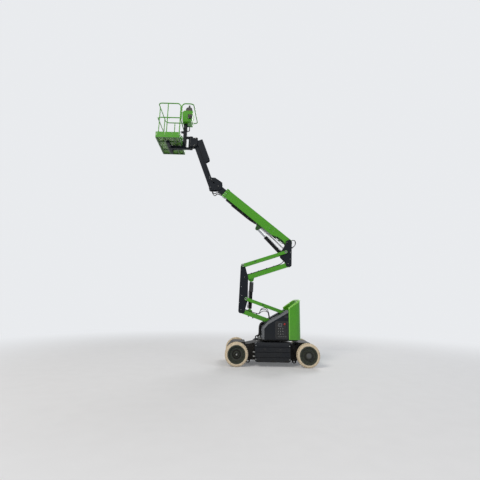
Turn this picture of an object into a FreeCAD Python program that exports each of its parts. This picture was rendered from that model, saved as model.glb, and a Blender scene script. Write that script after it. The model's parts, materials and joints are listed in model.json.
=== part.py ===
import FreeCAD, Part
import math
import os

# Self-propelled articulating boom lift, 12 m class, battery electric. Sizes in millimetres.
# Frame: +X forward, towards the basket; +Y to the machine's left; +Z up.
# The origin is on the ground below the middle of the chassis, on the slewing axis.

# Wheels and axles
WHEELBASE = 1850
TYRE_R = 300
TYRE_WIDTH = 180
TYRE_CORNER = 24
SEAT = 0.3               # gap between pieces that rest on each other
PIN_CLEAR = 0.3
RIM_R = 228
WHEEL_Y = 620            # middle of the tyre, out from the centre plane
KINGPIN_Y = 468
BEAM_SHORT = 65          # the steered beam ends this far inside each kingpin
YOKE_EAR = 24            # thickness of the beam's ears above and below a knuckle
EAR_RISE = 46            # inner face of an ear, above and below the axle line
KINGPIN_R = 20
AXLE_HALF_HEIGHT = 45
STEER_ARM = 150          # kingpin to tie rod pin, to the rear
TIE_ROD_R = 12

# Chassis
FRAME_HALF_WIDTH = 325
FRAME_LOW = 130
FRAME_TOP = 570
FRAME_FRONT = 700
FRAME_REAR = -690
COVER_LENGTH = 480
SIDE_BOX_X = (-468, 446)
SIDE_BOX_Y = (335, 620)
SIDE_BOX_Z = (117, 593)
SIDE_GROOVE = 10
TIE_DOWN_X = (-610, 620)
TIE_DOWN_Y = 290
TIE_DOWN_Z = 95
TIE_DOWN_R = 20
TIE_DOWN_EDGE = 40
TIE_DOWN_THICK = 20
SLEW_R = 290
SLEW_GAP = 6

# Turntable
DECK_LOW = 632
DECK_TOP = 662
HOOD_IN = 172            # inner wall of the hood, clear of the riser links
HOOD_OUT = 550
HOOD_WALL = 8
HOOD_FRONT = 260
HOOD_REAR = -436
HOOD_FRONT_TOP = 957
HOOD_KNEE = (130, 1100)
HOOD_REAR_TOP = 1417
HOOD_CHAMFER = 60
DOOR_WALL = 40           # depth of the door's folded rim
DOOR_GAP = 8
DOOR_HINGE = (12, 4)     # hinge axis ahead of the hood, and outside the door's inner plane
DOOR_HINGE_Z = (712, 868)
DOOR_HINGE_R = 8
DOOR_HINGE_LENGTH = 60
PANEL_X = (-409, -107)
PANEL_Z = (709, 1107)
TAIL_FRONT = -442
TAIL_REAR = -773
TAIL_LOW = 662.3
TAIL_FRONT_TOP = 1454
TAIL_REAR_TOP = 1690
TAIL_CORNER = 170        # plan radius of the rear corners
TAIL_WALL = 30
MAST_WAY = (-622, 165)   # rear end and half width of the room left for the mast
POWER_UNIT = (-735, -470, 330, 682.6, 1150)  # rear, front, half width, bottom, top

# Riser: two stacked parallelograms that move alike
LINK_LENGTH = 1300
LINK_ANGLE = 18.5        # at rest, degrees above level
MAST_LOWER_PIN = (-420, 950)
MAST_UPPER_OFFSET = (-126, 330)   # upper pin from the lower pin
MID_LOWER_TO_UPPER_STAGE = (-88, 897)  # first stage lower pin to second stage lower pin
STAGE2_OFFSET = (61, 360)         # upper pin from the lower pin, second stage
PLATE_IN = 102           # inner face of every mast and upright plate
PLATE = 12
BAR_IN = 120
BAR_OUT = 148
LINK_HALF_WIDTH = 94
LINK1_DEPTH = 120
LINK2_DEPTH = 130
BAR_DEPTH = 90
WALL = 8
PIN_R = 20
UPRIGHT_EDGE = 62        # plate edge around a pin
MID_WEB_DROP = 270       # top of the middle upright's web below its upper pin, clear of the lowered boom

# Riser cylinder
RISER_BASE = (LINK_LENGTH - 230, 82)   # along and above lower link 1
RISER_TIP = (LINK_LENGTH - 170, -100)  # along and below lower link 2, counted from its rear pin
RISER_BORE_R = 50
RISER_ROD_R = 28
RISER_CLOSED = 640
EAR_IN = 32
EAR = 14
EAR_EDGE = 44
EYE_R = 34
EYE_HALF = 27
EYE_PIN_R = 18

# Boom
BOOM_PIVOT = (-510, 3290)
BOOM_ANGLE = 38.6
BOOM_LENGTH = 2330
BOOM_TAIL = 100
BOOM_HALF_WIDTH = 90
BOOM_DEPTH = 250
BOOM_RISE = 15           # section centre above the pivot line
BOOM_CUT = 80            # height of the cut below the boom's rear end, over the cylinder
TRAY = (1120, 2250, 45, 38)   # hose tray below the boom: start and end along it, half width, height
TRAY_WALL = 3
COLLAR_LENGTH = 90
COLLAR_PROUD = 10
EXT_HALF_WIDTH = 70
EXT_DEPTH = 188
EXT_STROKE = 1200
HEAD_AHEAD = 348         # level head's pin, beyond the end of the main boom
BOOM_CYL_BASE = (150, -340)   # from the boom pivot
BOOM_CYL_ALONG = 975
BOOM_CYL_BELOW = 215
BOOM_BORE_R = 50
BOOM_ROD_R = 30
BOOM_CLOSED = 780
BOOM_PIN_R = 24
EXT_OVERLAP = 1400       # length of the extension inside the main boom
SLIDE_CLEAR = 0.5

# Jib
JIB_FROM_HEAD = (217, -31)   # jib pin from the level head's pin
JIB_LINK_OFFSET = (-20, 235)
JIB_LENGTH = 1470
JIB_ANGLE = 68.9
JIB_HALF_WIDTH = 50
JIB_WALL = 10
JIB_BELOW = 45
JIB_ABOVE = 74
JIB_BAR_IN = 56
JIB_BAR_OUT = 70
JIB_BAR_DEPTH = 44
HEAD_IN = 78
HEAD_OUT = 92
JIB_BORE_R = 30
JIB_ROD_R = 17
JIB_SLACK = 230          # the closed jib cylinder is this much shorter than the jib
COVER_LENGTH_JIB = 760
COVER_SHORT = 70         # jib cover's end, short of the jib's end pin
COVER_ABOVE = 165

# Platform
SWIVEL_AHEAD = 156       # swivel axis ahead of the jib's end pin
SWIVEL_BELOW = 40        # lower end of the swivel, below the jib's end pin
SWIVEL_HEIGHT = 300
SWIVEL_R = 80
SPIGOT_R = 24
YOKE_R = 62
YOKE_PLATE = 52
YOKE_GAP = 6
POST_AHEAD = 145         # rear face of the post, ahead of the swivel axis
POST_DEPTH = 108
POST_HALF = 50
BASKET_GAP = 7           # between the post and the basket
BASKET_DEPTH = 725
BASKET_HALF = 640
FLOOR_RISE = 32          # underside of the floor above the lower end of the swivel
TOE_HEIGHT = 176
RAIL_HEIGHT = 1131       # middle of the top rail above the underside of the floor
RAIL_MID_HEIGHT = 656
RAIL_R = 17
RAIL_MID_R = 16
RAIL_POST_R = 15
RAIL_BEND = 110
TOE_WALL = 6
TOE_CORNER = 22
RAIL_INSET = RAIL_R + TOE_WALL + SEAT   # middle of a rail, in from the basket's outer face
GUARD_DEPTH = 380        # loop round the console, to the rear of the basket
CONSOLE_REAR = 35        # console's rear face, behind the swivel axis
CONSOLE_DEPTH = 340
CONSOLE_HALF = 190
CONSOLE_HEIGHT = 380
CONSOLE_PROUD = 15       # top of the console above the middle of the top rail
COVER_BACK = 50          # rear of the levers' cover, ahead of the console's rear
COVER_DEPTH = 200
COVER_HALF = 80
COVER_HEIGHT = 180
FLOOR_PLATE = 6
FLOOR_BEAM_AHEAD = 345   # cross beam below the floor, ahead of the basket's rear
FLOOR_BEAM_WIDTH = 80
FLOOR_ARM_HALF = 45
FLOOR_BEAM_HALF = 420
RIB = (30, 26)            # width and height
ANCHOR_AHEAD = 70        # lanyard eye ahead of the post
ANCHOR_HEIGHT = 486      # above the underside of the floor
ANCHOR_R = 12
GATE_WIDTH = 235
GATE_GAP = 40            # from the gate's tube to the middle of its hinge post
GATE_LOW = 196           # above the underside of the floor
GATE_HIGH = 666
GATE_TUBE_R = 14
GATE_POST_AHEAD = 72     # hinge post ahead of the basket's rear


def vec(x, y, z):
    return FreeCAD.Vector(x, y, z)


def box(x0, x1, y0, y1, z0, z1):
    return Part.makeBox(x1 - x0, y1 - y0, z1 - z0, vec(x0, y0, z0))


def rod_y(x, z, radius, y0, y1):
    return Part.makeCylinder(radius, y1 - y0, vec(x, y0, z), vec(0, 1, 0))


def rod_x(y, z, radius, x0, x1):
    return Part.makeCylinder(radius, x1 - x0, vec(x0, y, z), vec(1, 0, 0))


def rod_z(x, y, radius, z0, z1):
    return Part.makeCylinder(radius, z1 - z0, vec(x, y, z0), vec(0, 0, 1))


def fuse(shapes):
    whole = shapes[0]
    if len(shapes) > 1:
        whole = whole.multiFuse(shapes[1:])
    return whole.removeSplitter()


def cut(shape, tools):
    return shape.cut(Part.makeCompound(tools)).removeSplitter()


def both_sides(shape):
    """The shape and its mirror image across the centre plane."""
    return [shape, shape.mirror(vec(0, 0, 0), vec(0, 1, 0))]


def outline(points, radius, lift):
    """Closed outline with each corner rounded. A point is (a, b) or (a, b, own radius)."""
    flat = [FreeCAD.Vector(p[0], p[1], 0) for p in points]
    radii = [p[2] if len(p) > 2 else radius for p in points]
    count = len(flat)
    ends = []
    for i in range(count):
        here, before, after = flat[i], flat[i - 1], flat[(i + 1) % count]
        to_before = (before - here).normalize()
        to_after = (after - here).normalize()
        turn = math.pi - to_before.getAngle(to_after)
        if radii[i] <= 0 or turn < 1e-3:
            ends.append((here, None, here))
            continue
        reach = radii[i] * math.tan(turn / 2)
        start = here + to_before * reach
        finish = here + to_after * reach
        bisector = (to_before + to_after).normalize()
        centre = here + bisector * (radii[i] / math.cos(turn / 2))
        ends.append((start, centre - bisector * radii[i], finish))
    edges = []
    for i in range(count):
        start, middle, finish = ends[i]
        if middle is not None:
            edges.append(Part.Arc(lift(start), lift(middle), lift(finish)).toShape())
        following = ends[(i + 1) % count][0]
        if (following - finish).Length > 1e-6:
            edges.append(Part.LineSegment(lift(finish), lift(following)).toShape())
    return Part.Wire(edges)


def side_plate(points, y0, y1, radius=0):
    """Plate with an outline in X and Z, from y0 to y1."""
    wire = outline(points, radius, lambda p: vec(p.x, y0, p.y))
    return Part.Face(wire).extrude(vec(0, y1 - y0, 0))


def flat_plate(points, z0, z1, radius=0):
    """Plate with an outline in X and Y, from z0 to z1."""
    wire = outline(points, radius, lambda p: vec(p.x, p.y, z0))
    return Part.Face(wire).extrude(vec(0, 0, z1 - z0))


def cross_plate(points, x0, x1, radius=0):
    """Plate with an outline in Y and Z, from x0 to x1."""
    wire = outline(points, radius, lambda p: vec(x0, p.x, p.y))
    return Part.Face(wire).extrude(vec(x1 - x0, 0, 0))


def placed(shape, pin, angle):
    """Turns a piece built along +X up by the angle and moves its origin to the pin."""
    moved = shape.copy()
    moved.rotate(vec(0, 0, 0), vec(0, 1, 0), -angle)
    moved.translate(vec(pin[0], 0, pin[1]))
    return moved


def ahead(pin, angle, along, above=0):
    """Point along and above a line that leaves the pin at the angle."""
    a = math.radians(angle)
    return (pin[0] + along * math.cos(a) - above * math.sin(a),
            pin[1] + along * math.sin(a) + above * math.cos(a))


def plus(pin, offset):
    return (pin[0] + offset[0], pin[1] + offset[1])


def tube_run(points, radius, bend):
    """Round tube along straight runs with a bend of one radius at each inner point."""
    edges = []
    last = points[0]
    for i in range(1, len(points) - 1):
        here = points[i]
        to_before = (points[i - 1] - here).normalize()
        to_after = (points[i + 1] - here).normalize()
        turn = math.pi - to_before.getAngle(to_after)
        reach = bend * math.tan(turn / 2)
        start = here + to_before * reach
        finish = here + to_after * reach
        bisector = (to_before + to_after).normalize()
        middle = here + bisector * (bend / math.cos(turn / 2) - bend)
        if (start - last).Length > 1e-6:
            edges.append(Part.LineSegment(last, start).toShape())
        edges.append(Part.Arc(start, middle, finish).toShape())
        last = finish
    edges.append(Part.LineSegment(last, points[-1]).toShape())
    heading = (points[1] - points[0]).normalize()
    ring = Part.Wire(Part.makeCircle(radius, points[0], heading))
    return Part.Wire(edges).makePipeShell([ring], True, True)


def straight_tube(start, end, radius):
    span = end - start
    return Part.makeCylinder(radius, span.Length, start, span)


def square_tube(length, half_width, depth, wall, centre=0):
    """Rectangular tube along +X with open ends."""
    outer = box(0, length, -half_width, half_width, centre - depth / 2, centre + depth / 2)
    inner = box(-1, length + 1, -half_width + wall, half_width - wall,
                centre - depth / 2 + wall, centre + depth / 2 - wall)
    return outer.cut(inner)


# Pins at rest, as (x, z)
T1 = MAST_LOWER_PIN
T2 = plus(T1, MAST_UPPER_OFFSET)
M1 = ahead(T1, LINK_ANGLE, LINK_LENGTH)
M2 = ahead(T2, LINK_ANGLE, LINK_LENGTH)
M3 = plus(M1, MID_LOWER_TO_UPPER_STAGE)
M4 = plus(M3, STAGE2_OFFSET)
U1 = ahead(M3, 180 - LINK_ANGLE, LINK_LENGTH)
U2 = ahead(M4, 180 - LINK_ANGLE, LINK_LENGTH)
RISER_BASE_PIN = ahead(T1, LINK_ANGLE, RISER_BASE[0], RISER_BASE[1])
RISER_TIP_PIN = ahead(U1, -LINK_ANGLE, RISER_TIP[0], RISER_TIP[1])
BOOM_BASE_PIN = plus(BOOM_PIVOT, BOOM_CYL_BASE)
BOOM_TIP_PIN = ahead(BOOM_PIVOT, BOOM_ANGLE, BOOM_CYL_ALONG, -BOOM_CYL_BELOW)
HEAD_PIN = ahead(BOOM_PIVOT, BOOM_ANGLE, BOOM_LENGTH + HEAD_AHEAD)
J1 = plus(HEAD_PIN, JIB_FROM_HEAD)
J2 = plus(J1, JIB_LINK_OFFSET)
K1 = ahead(J1, JIB_ANGLE, JIB_LENGTH)
K2 = plus(K1, JIB_LINK_OFFSET)

# Platform places that follow from the jib's end pin
SWIVEL_X = K1[0] + SWIVEL_AHEAD
SWIVEL_Z = (K1[1] - SWIVEL_BELOW, K1[1] - SWIVEL_BELOW + SWIVEL_HEIGHT)
POST_X = (SWIVEL_X + POST_AHEAD, SWIVEL_X + POST_AHEAD + POST_DEPTH)
BASKET_X = (POST_X[1] + BASKET_GAP, POST_X[1] + BASKET_GAP + BASKET_DEPTH)
FLOOR_Z = SWIVEL_Z[0] + FLOOR_RISE
TOE_TOP = FLOOR_Z + TOE_HEIGHT
RAIL_TOP = FLOOR_Z + RAIL_HEIGHT
RAIL_MID = FLOOR_Z + RAIL_MID_HEIGHT
GUARD_X = BASKET_X[0] - GUARD_DEPTH
CONSOLE_X = (SWIVEL_X - CONSOLE_REAR, SWIVEL_X - CONSOLE_REAR + CONSOLE_DEPTH)
CONSOLE_Z = (RAIL_TOP + CONSOLE_PROUD - CONSOLE_HEIGHT, RAIL_TOP + CONSOLE_PROUD)
POST_TOP = CONSOLE_Z[0] - SEAT
FLOOR_BEAM_X = (BASKET_X[0] + FLOOR_BEAM_AHEAD, BASKET_X[0] + FLOOR_BEAM_AHEAD + FLOOR_BEAM_WIDTH)
ANCHOR = (POST_X[1] + ANCHOR_AHEAD, FLOOR_Z + ANCHOR_HEIGHT)
GATE_POST_X = BASKET_X[0] + GATE_POST_AHEAD
GATE_X = (GATE_POST_X + GATE_GAP, GATE_POST_X + GATE_GAP + GATE_WIDTH)
GATE_Z = (FLOOR_Z + GATE_LOW, FLOOR_Z + GATE_HIGH)


# Chassis

def chassis_frame():
    body = side_plate([(FRAME_REAR, FRAME_LOW), (FRAME_FRONT, FRAME_LOW), (FRAME_FRONT, FRAME_TOP - 60, 30),
                       (SLEW_R + 120, FRAME_TOP, 30), (-SLEW_R - 120, FRAME_TOP, 30),
                       (FRAME_REAR, FRAME_TOP - 60, 30)], -FRAME_HALF_WIDTH, FRAME_HALF_WIDTH)
    ring = rod_z(0, 0, SLEW_R - 20, FRAME_TOP - 5, DECK_LOW - SLEW_GAP - 30)
    holders = [box(x - 40, x + 40, -SIDE_BOX_Y[0] + SEAT, SIDE_BOX_Y[0] - SEAT, 200, 500) for x in (-330, 310)]
    lugs = []
    for x in TIE_DOWN_X:
        lugs += both_sides(side_plate([(x - 70, FRAME_LOW + 2), (x - TIE_DOWN_EDGE, TIE_DOWN_Z - TIE_DOWN_EDGE, 36),
                                       (x + TIE_DOWN_EDGE, TIE_DOWN_Z - TIE_DOWN_EDGE, 36), (x + 70, FRAME_LOW + 2)],
                                      TIE_DOWN_Y, TIE_DOWN_Y + TIE_DOWN_THICK))
    return cut(fuse([body, ring] + holders + lugs), [rod_y(x, TIE_DOWN_Z, TIE_DOWN_R, -400, 400) for x in TIE_DOWN_X])


def end_cover(sign):
    """Folded cover over one end of the frame, between the wheels."""
    start = FRAME_FRONT if sign > 0 else -FRAME_REAR
    end = start + COVER_LENGTH
    top = FRAME_TOP if sign > 0 else FRAME_TOP + 10
    low = FRAME_LOW + 60
    shell = side_plate([(start + SEAT, low), (end - 60, low, 60), (end, low + 130, 60), (end, top - 150, 90),
                        (end - 130, top, 60), (start + SEAT, top, 0)], -FRAME_HALF_WIDTH, FRAME_HALF_WIDTH)
    reach = STEER_ARM + 45 if sign > 0 else 75
    tunnel = box(WHEELBASE / 2 - reach, WHEELBASE / 2 + 75, -FRAME_HALF_WIDTH - 1, FRAME_HALF_WIDTH + 1,
                 low - 1, TYRE_R + 75)
    shell = shell.cut(tunnel)
    if sign < 0:
        shell = shell.mirror(vec(0, 0, 0), vec(1, 0, 0))
    return shell


def side_box(side):
    """Battery box between the wheels, with three level grooves across its outer face."""
    x0, x1 = SIDE_BOX_X
    y0, y1 = SIDE_BOX_Y
    z0, z1 = SIDE_BOX_Z
    shell = side_plate([(x0, z0 + 30), (x0 + 40, z0), (x1 - 40, z0), (x1, z0 + 30), (x1, z1 - 40), (x1 - 50, z1),
                        (x0 + 50, z1), (x0, z1 - 40)], y0, y1, 14)
    lean = cross_plate([(y1 - 30, z1 + 1), (y1 + 1, z1 + 1), (y1 + 1, z1 - 60)], x0 - 1, x1 + 1)
    grooves = [box(x0 - 1, x1 + 1, y1 - SIDE_GROOVE, y1 + 1, z, z + 14) for z in (z0 + 110, z0 + 235, z0 + 360)]
    shell = cut(shell, [lean] + grooves)
    return shell if side > 0 else shell.mirror(vec(0, 0, 0), vec(0, 1, 0))


def steer_axle():
    x = WHEELBASE / 2
    half = KINGPIN_Y - BEAM_SHORT
    beam = box(x - 55, x + 55, -half, half, TYRE_R - AXLE_HALF_HEIGHT, TYRE_R + AXLE_HALF_HEIGHT)
    stem = box(x - 70, x + 70, -200, 200, TYRE_R + AXLE_HALF_HEIGHT - 1, TYRE_R + 75 - SEAT)
    parts = [beam, stem]
    for side in (-1, 1):
        y = side * KINGPIN_Y
        for z0 in (TYRE_R - EAR_RISE - YOKE_EAR, TYRE_R + EAR_RISE):
            parts.append(flat_plate([(x - 45, y - side * 82), (x + 45, y - side * 82), (x + 45, y + side * 40, 40),
                                     (x - 45, y + side * 40, 40)], z0, z0 + YOKE_EAR))
        web = sorted((y - side * (BEAM_SHORT + 17), y - side * (BEAM_SHORT - 3)))
        parts.append(box(x - 45, x + 45, web[0], web[1], TYRE_R - EAR_RISE - YOKE_EAR, TYRE_R + EAR_RISE + YOKE_EAR))
        parts.append(rod_z(x, y, KINGPIN_R, TYRE_R - EAR_RISE - YOKE_EAR - 8, TYRE_R + EAR_RISE + YOKE_EAR + 8))
    return fuse(parts)


def knuckle(side):
    """Kingpin sleeve with the stub axle outwards and the steering arm to the rear."""
    x = WHEELBASE / 2
    y = KINGPIN_Y
    sleeve = rod_z(x, y, 36, TYRE_R - EAR_RISE + 5, TYRE_R + EAR_RISE - 5)
    stub = Part.makeCylinder(28, WHEEL_Y + 30 - y, vec(x, y, TYRE_R), vec(0, 1, 0))
    plate = rod_y(x, TYRE_R, EAR_RISE - 4, y + 42, y + 54)
    arm = box(x - STEER_ARM, x - 20, y - 14, y + 14, TYRE_R - 40, TYRE_R - 18)
    pad = rod_z(x - STEER_ARM, y, 24, TYRE_R - 40, TYRE_R - 18)
    body = fuse([sleeve, stub, plate, arm, pad])
    bores = [rod_z(x, y, KINGPIN_R + PIN_CLEAR, 0, 2 * TYRE_R),
             rod_z(x - STEER_ARM, y, 10 + PIN_CLEAR, 0, 2 * TYRE_R)]
    body = cut(body, bores)
    return body if side > 0 else body.mirror(vec(0, 0, 0), vec(0, 1, 0))


def tie_rod():
    x = WHEELBASE / 2 - STEER_ARM
    z = TYRE_R - 54
    parts = [Part.makeCylinder(TIE_ROD_R, 2 * KINGPIN_Y, vec(x, -KINGPIN_Y, z), vec(0, 1, 0))]
    for side in (-1, 1):
        parts.append(rod_z(x, side * KINGPIN_Y, 20, z - 12, z + 12))
        parts.append(rod_z(x, side * KINGPIN_Y, 10, z - 12, TYRE_R - 12))
    return fuse(parts)


def drive_axle():
    x = -WHEELBASE / 2
    parts = [rod_y(x, TYRE_R, 70, -FRAME_HALF_WIDTH - 40, FRAME_HALF_WIDTH + 40)]
    parts += both_sides(box(x - 55, x + 55, 190, 270, TYRE_R, TYRE_R + 75 - SEAT))
    for side in (-1, 1):
        y = side * (FRAME_HALF_WIDTH + 40)
        parts.append(rod_y(x, TYRE_R, 100, min(y, y + side * 90), max(y, y + side * 90)))
        parts.append(rod_y(x, TYRE_R, 40, min(y, side * (WHEEL_Y - 10)), max(y, side * (WHEEL_Y - 10))))
    return fuse(parts)


def tyre(x, side):
    """Solid tyre, a ring with its outer shoulder bevelled."""
    half = TYRE_WIDTH / 2
    ring = [(RIM_R, -half), (TYRE_R, -half), (TYRE_R, half - TYRE_CORNER), (TYRE_R - TYRE_CORNER, half), (RIM_R, half)]
    wire = outline(ring, 0, lambda p: vec(p.x, p.y, 0))
    body = Part.Face(wire).revolve(vec(0, 0, 0), vec(0, 1, 0), 360)
    if side < 0:
        body = body.mirror(vec(0, 0, 0), vec(0, 1, 0))
    body.translate(vec(x, side * WHEEL_Y, TYRE_R))
    return body


def rim(x, side, drive):
    """Pressed rim with a dished centre; a drive rim has its reduction hub standing out."""
    half = TYRE_WIDTH / 2
    if drive:
        section = [(40 + PIN_CLEAR, -40), (205, -half + 14), (RIM_R - SEAT, -half + 14), (RIM_R - SEAT, half - 10),
                   (196, half - 10), (180, half - 50), (114, half - 50), (106, half + 2), (78, half + 2),
                   (78, half + 8), (0, half + 8),
                   (0, half - 80), (40 + PIN_CLEAR, half - 80)]
    else:
        section = [(28 + PIN_CLEAR, -40), (205, -half + 14), (RIM_R - SEAT, -half + 14), (RIM_R - SEAT, half - 10),
                   (200, half - 10), (182, half - 70), (84, half - 70), (72, half - 36),
                   (0, half - 36), (0, half - 56), (28 + PIN_CLEAR, half - 56)]
    wire = outline(section, 0, lambda p: vec(p.x, p.y, 0))
    body = Part.Face(wire).revolve(vec(0, 0, 0), vec(0, 1, 0), 360)
    if side < 0:
        body = body.mirror(vec(0, 0, 0), vec(0, 1, 0))
    body.translate(vec(x, side * WHEEL_Y, TYRE_R))
    return body


def slew_ring():
    ring = rod_z(0, 0, SLEW_R, DECK_LOW - SLEW_GAP - 30, DECK_LOW - SLEW_GAP)
    return ring.cut(rod_z(0, 0, 120, 0, 1000))


# Turntable

def turntable_deck():
    plate = flat_plate([(HOOD_FRONT, -HOOD_OUT + 60, 40), (HOOD_FRONT, HOOD_OUT - 60, 40),
                        (TAIL_FRONT, HOOD_OUT - 20, 20), (TAIL_REAR + 60, HOOD_OUT - 60, TAIL_CORNER),
                        (TAIL_REAR + 60, -HOOD_OUT + 60, TAIL_CORNER), (TAIL_FRONT, -HOOD_OUT + 20, 20)],
                       DECK_LOW, DECK_TOP)
    return fuse([plate, rod_z(0, 0, SLEW_R - 40, DECK_LOW - SLEW_GAP + SEAT, DECK_LOW + 1)])


def riser_mast():
    """Two plates on the deck that hold both pins of the first parallelogram."""
    t1 = MAST_LOWER_PIN
    t2 = plus(t1, MAST_UPPER_OFFSET)
    edge = 55
    plate = side_plate([(t1[0] + 150, DECK_TOP), (t1[0] + 75, t1[1] + 20, 60), (t2[0] + edge, t2[1] + edge, 50),
                        (t2[0] - edge, t2[1] + edge, 50), (t2[0] - edge - 10, t1[1], 60), (t2[0] - edge - 10, DECK_TOP)],
                       PLATE_IN, PLATE_IN + PLATE)
    parts = both_sides(plate)
    parts.append(box(t2[0] - 60, t2[0] - 48, -PLATE_IN, PLATE_IN, DECK_TOP, t1[1] + 60))
    parts.append(rod_y(t1[0], t1[1], PIN_R, -PLATE_IN - PLATE - 8, PLATE_IN + PLATE + 8))
    for y0, y1 in ((PLATE_IN, BAR_OUT + 6), (-BAR_OUT - 6, -PLATE_IN)):
        parts.append(rod_y(t2[0], t2[1], PIN_R, y0, y1))
    return fuse(parts)


def hood_outline(inset):
    return [(HOOD_REAR + inset, DECK_TOP + inset), (HOOD_FRONT - inset, DECK_TOP + inset),
            (HOOD_FRONT - inset, HOOD_FRONT_TOP - inset * 0.5, 20),
            (HOOD_KNEE[0] - inset * 0.4, HOOD_KNEE[1] - inset, 20), (HOOD_REAR + inset, HOOD_REAR_TOP - inset)]


def hood(side):
    """Fixed hood: inner wall, front and sloping top, open on the outer side."""
    out = HOOD_OUT - DOOR_WALL - DOOR_GAP
    solid = side_plate(hood_outline(0), HOOD_IN, out)
    room = side_plate(hood_outline(HOOD_WALL), HOOD_IN + HOOD_WALL, out + 1)
    shell = fuse([solid.cut(room)] + hinge_brackets())
    return shell if side > 0 else shell.mirror(vec(0, 0, 0), vec(0, 1, 0))


def hinge_axis():
    """The door's hinge axis, as (x, y), ahead of the hood's front edge."""
    return HOOD_FRONT + DOOR_HINGE[0], HOOD_OUT - DOOR_WALL + DOOR_HINGE[1]


def hinge_brackets():
    """Hinge pins with a bracket below and above each sleeve of the door."""
    x, y = hinge_axis()
    end = DOOR_HINGE_R - 1
    parts = []
    for z in DOOR_HINGE_Z:
        for z0 in (z - 10, z + DOOR_HINGE_LENGTH + 2):
            parts.append(flat_plate([(HOOD_FRONT - 1, y - 44), (x + end, y - 30), (x + end, y + end, end - 0.5),
                                     (x - end, y + end, end - 0.5), (x - end, y - 12), (HOOD_FRONT - 1, y - 20)],
                                    z0, z0 + 8))
        parts.append(rod_z(x, y, DOOR_HINGE_R / 2, z - 9, z + DOOR_HINGE_LENGTH + 9))
    return parts


def hinge_sleeves():
    x, y = hinge_axis()
    parts = []
    for z in DOOR_HINGE_Z:
        sleeve = fuse([rod_z(x, y, DOOR_HINGE_R, z, z + DOOR_HINGE_LENGTH),
                       box(HOOD_FRONT - 25, x, y - DOOR_HINGE[1], y + DOOR_HINGE[1], z, z + DOOR_HINGE_LENGTH)])
        parts.append(sleeve.cut(rod_z(x, y, DOOR_HINGE_R / 2 + PIN_CLEAR, z - 1, z + DOOR_HINGE_LENGTH + 1)))
    return parts


def hood_door(side):
    """Outer panel of a hood with its bevelled front and top edges."""
    inner = HOOD_OUT - DOOR_WALL
    block = side_plate(hood_outline(0), inner, HOOD_OUT)
    sides = hood_outline(0)
    tools = []
    for a, b in ((1, 2), (2, 3), (3, 4)):
        p, q = sides[a], sides[b]
        run = vec(q[0] - p[0], 0, q[1] - p[1])
        length = run.Length
        run.normalize()
        inward = vec(-run.z, 0, run.x)
        corner = vec(p[0], HOOD_OUT, p[1]) - run * 60
        wedge = Part.Face(Part.makePolygon([corner - inward * 40, corner + inward * HOOD_CHAMFER,
                                            corner - inward * 40 - vec(0, DOOR_WALL * (HOOD_CHAMFER + 40) / HOOD_CHAMFER, 0),
                                            corner - inward * 40]))
        tools.append(wedge.extrude(run * (length + 120)))
    shell = block.cut(Part.makeCompound(tools))
    room = side_plate([(HOOD_REAR + 10, DECK_TOP + 10), (HOOD_FRONT - 70, DECK_TOP + 10),
                       (HOOD_FRONT - 70, HOOD_FRONT_TOP - 30), (HOOD_KNEE[0] - 45, HOOD_KNEE[1] - 65),
                       (HOOD_REAR + 10, HOOD_REAR_TOP - 75)], inner - 1, HOOD_OUT - HOOD_WALL)
    shell = fuse([shell.cut(room)] + hinge_sleeves())
    if side > 0:
        shell = shell.cut(box(PANEL_X[0] - 10, PANEL_X[1] + 10, inner - 1, HOOD_OUT + 1, PANEL_Z[0] - 10,
                              PANEL_Z[1] + 10))
        return shell
    return shell.mirror(vec(0, 0, 0), vec(0, 1, 0))


def control_panel():
    """Ground controls: a dark box behind the window of the left door, with switches."""
    y = HOOD_OUT - 14
    body = box(PANEL_X[0], PANEL_X[1], HOOD_OUT - 120, y, PANEL_Z[0], PANEL_Z[1])
    foot = box(PANEL_X[0] + 40, PANEL_X[1] - 40, HOOD_OUT - 110, HOOD_OUT - 80,
               DECK_TOP + HOOD_WALL + SEAT, PANEL_Z[0])
    knobs = []
    for row, z in enumerate((PANEL_Z[0] + 90, PANEL_Z[0] + 170, PANEL_Z[0] + 250)):
        for column in range(3):
            knobs.append(rod_y(PANEL_X[0] + 60 + 90 * column, z, 12, y - 2, y + 8))
    stop = rod_y(PANEL_X[1] - 60, PANEL_Z[1] - 60, 26, y - 2, y + 12)
    return fuse([body, foot, stop] + knobs)


def tail_cover():
    """Rear cover, bent round both rear corners, with its top edge sloping up to the rear."""
    def ring(inset, z0, z1):
        return flat_plate([(TAIL_FRONT, HOOD_OUT - inset), (TAIL_REAR + inset, HOOD_OUT - inset, TAIL_CORNER - inset),
                           (TAIL_REAR + inset, -HOOD_OUT + inset, TAIL_CORNER - inset), (TAIL_FRONT, -HOOD_OUT + inset)],
                          z0, z1)
    shell = ring(0, TAIL_LOW, TAIL_REAR_TOP + 60)
    room = ring(TAIL_WALL, TAIL_LOW + 20, TAIL_REAR_TOP + 100)
    room = room.fuse(box(TAIL_FRONT - 60, TAIL_FRONT + 1, -HOOD_OUT + TAIL_WALL, HOOD_OUT - TAIL_WALL, TAIL_LOW + 20, 2000))
    mast_way = box(MAST_WAY[0], TAIL_FRONT + 1, -MAST_WAY[1], MAST_WAY[1], TAIL_LOW - 1, TAIL_LOW + 21)
    shell = shell.cut(room).cut(mast_way)
    rise = (TAIL_REAR_TOP - TAIL_FRONT_TOP) / (TAIL_FRONT - TAIL_REAR)
    above = side_plate([(TAIL_FRONT + 10, TAIL_FRONT_TOP - 10 * rise), (TAIL_REAR - 40, TAIL_REAR_TOP + 40 * rise),
                        (TAIL_REAR - 40, 2400), (TAIL_FRONT + 10, 2400)], -HOOD_OUT - 10, HOOD_OUT + 10)
    return shell.cut(above)


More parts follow.
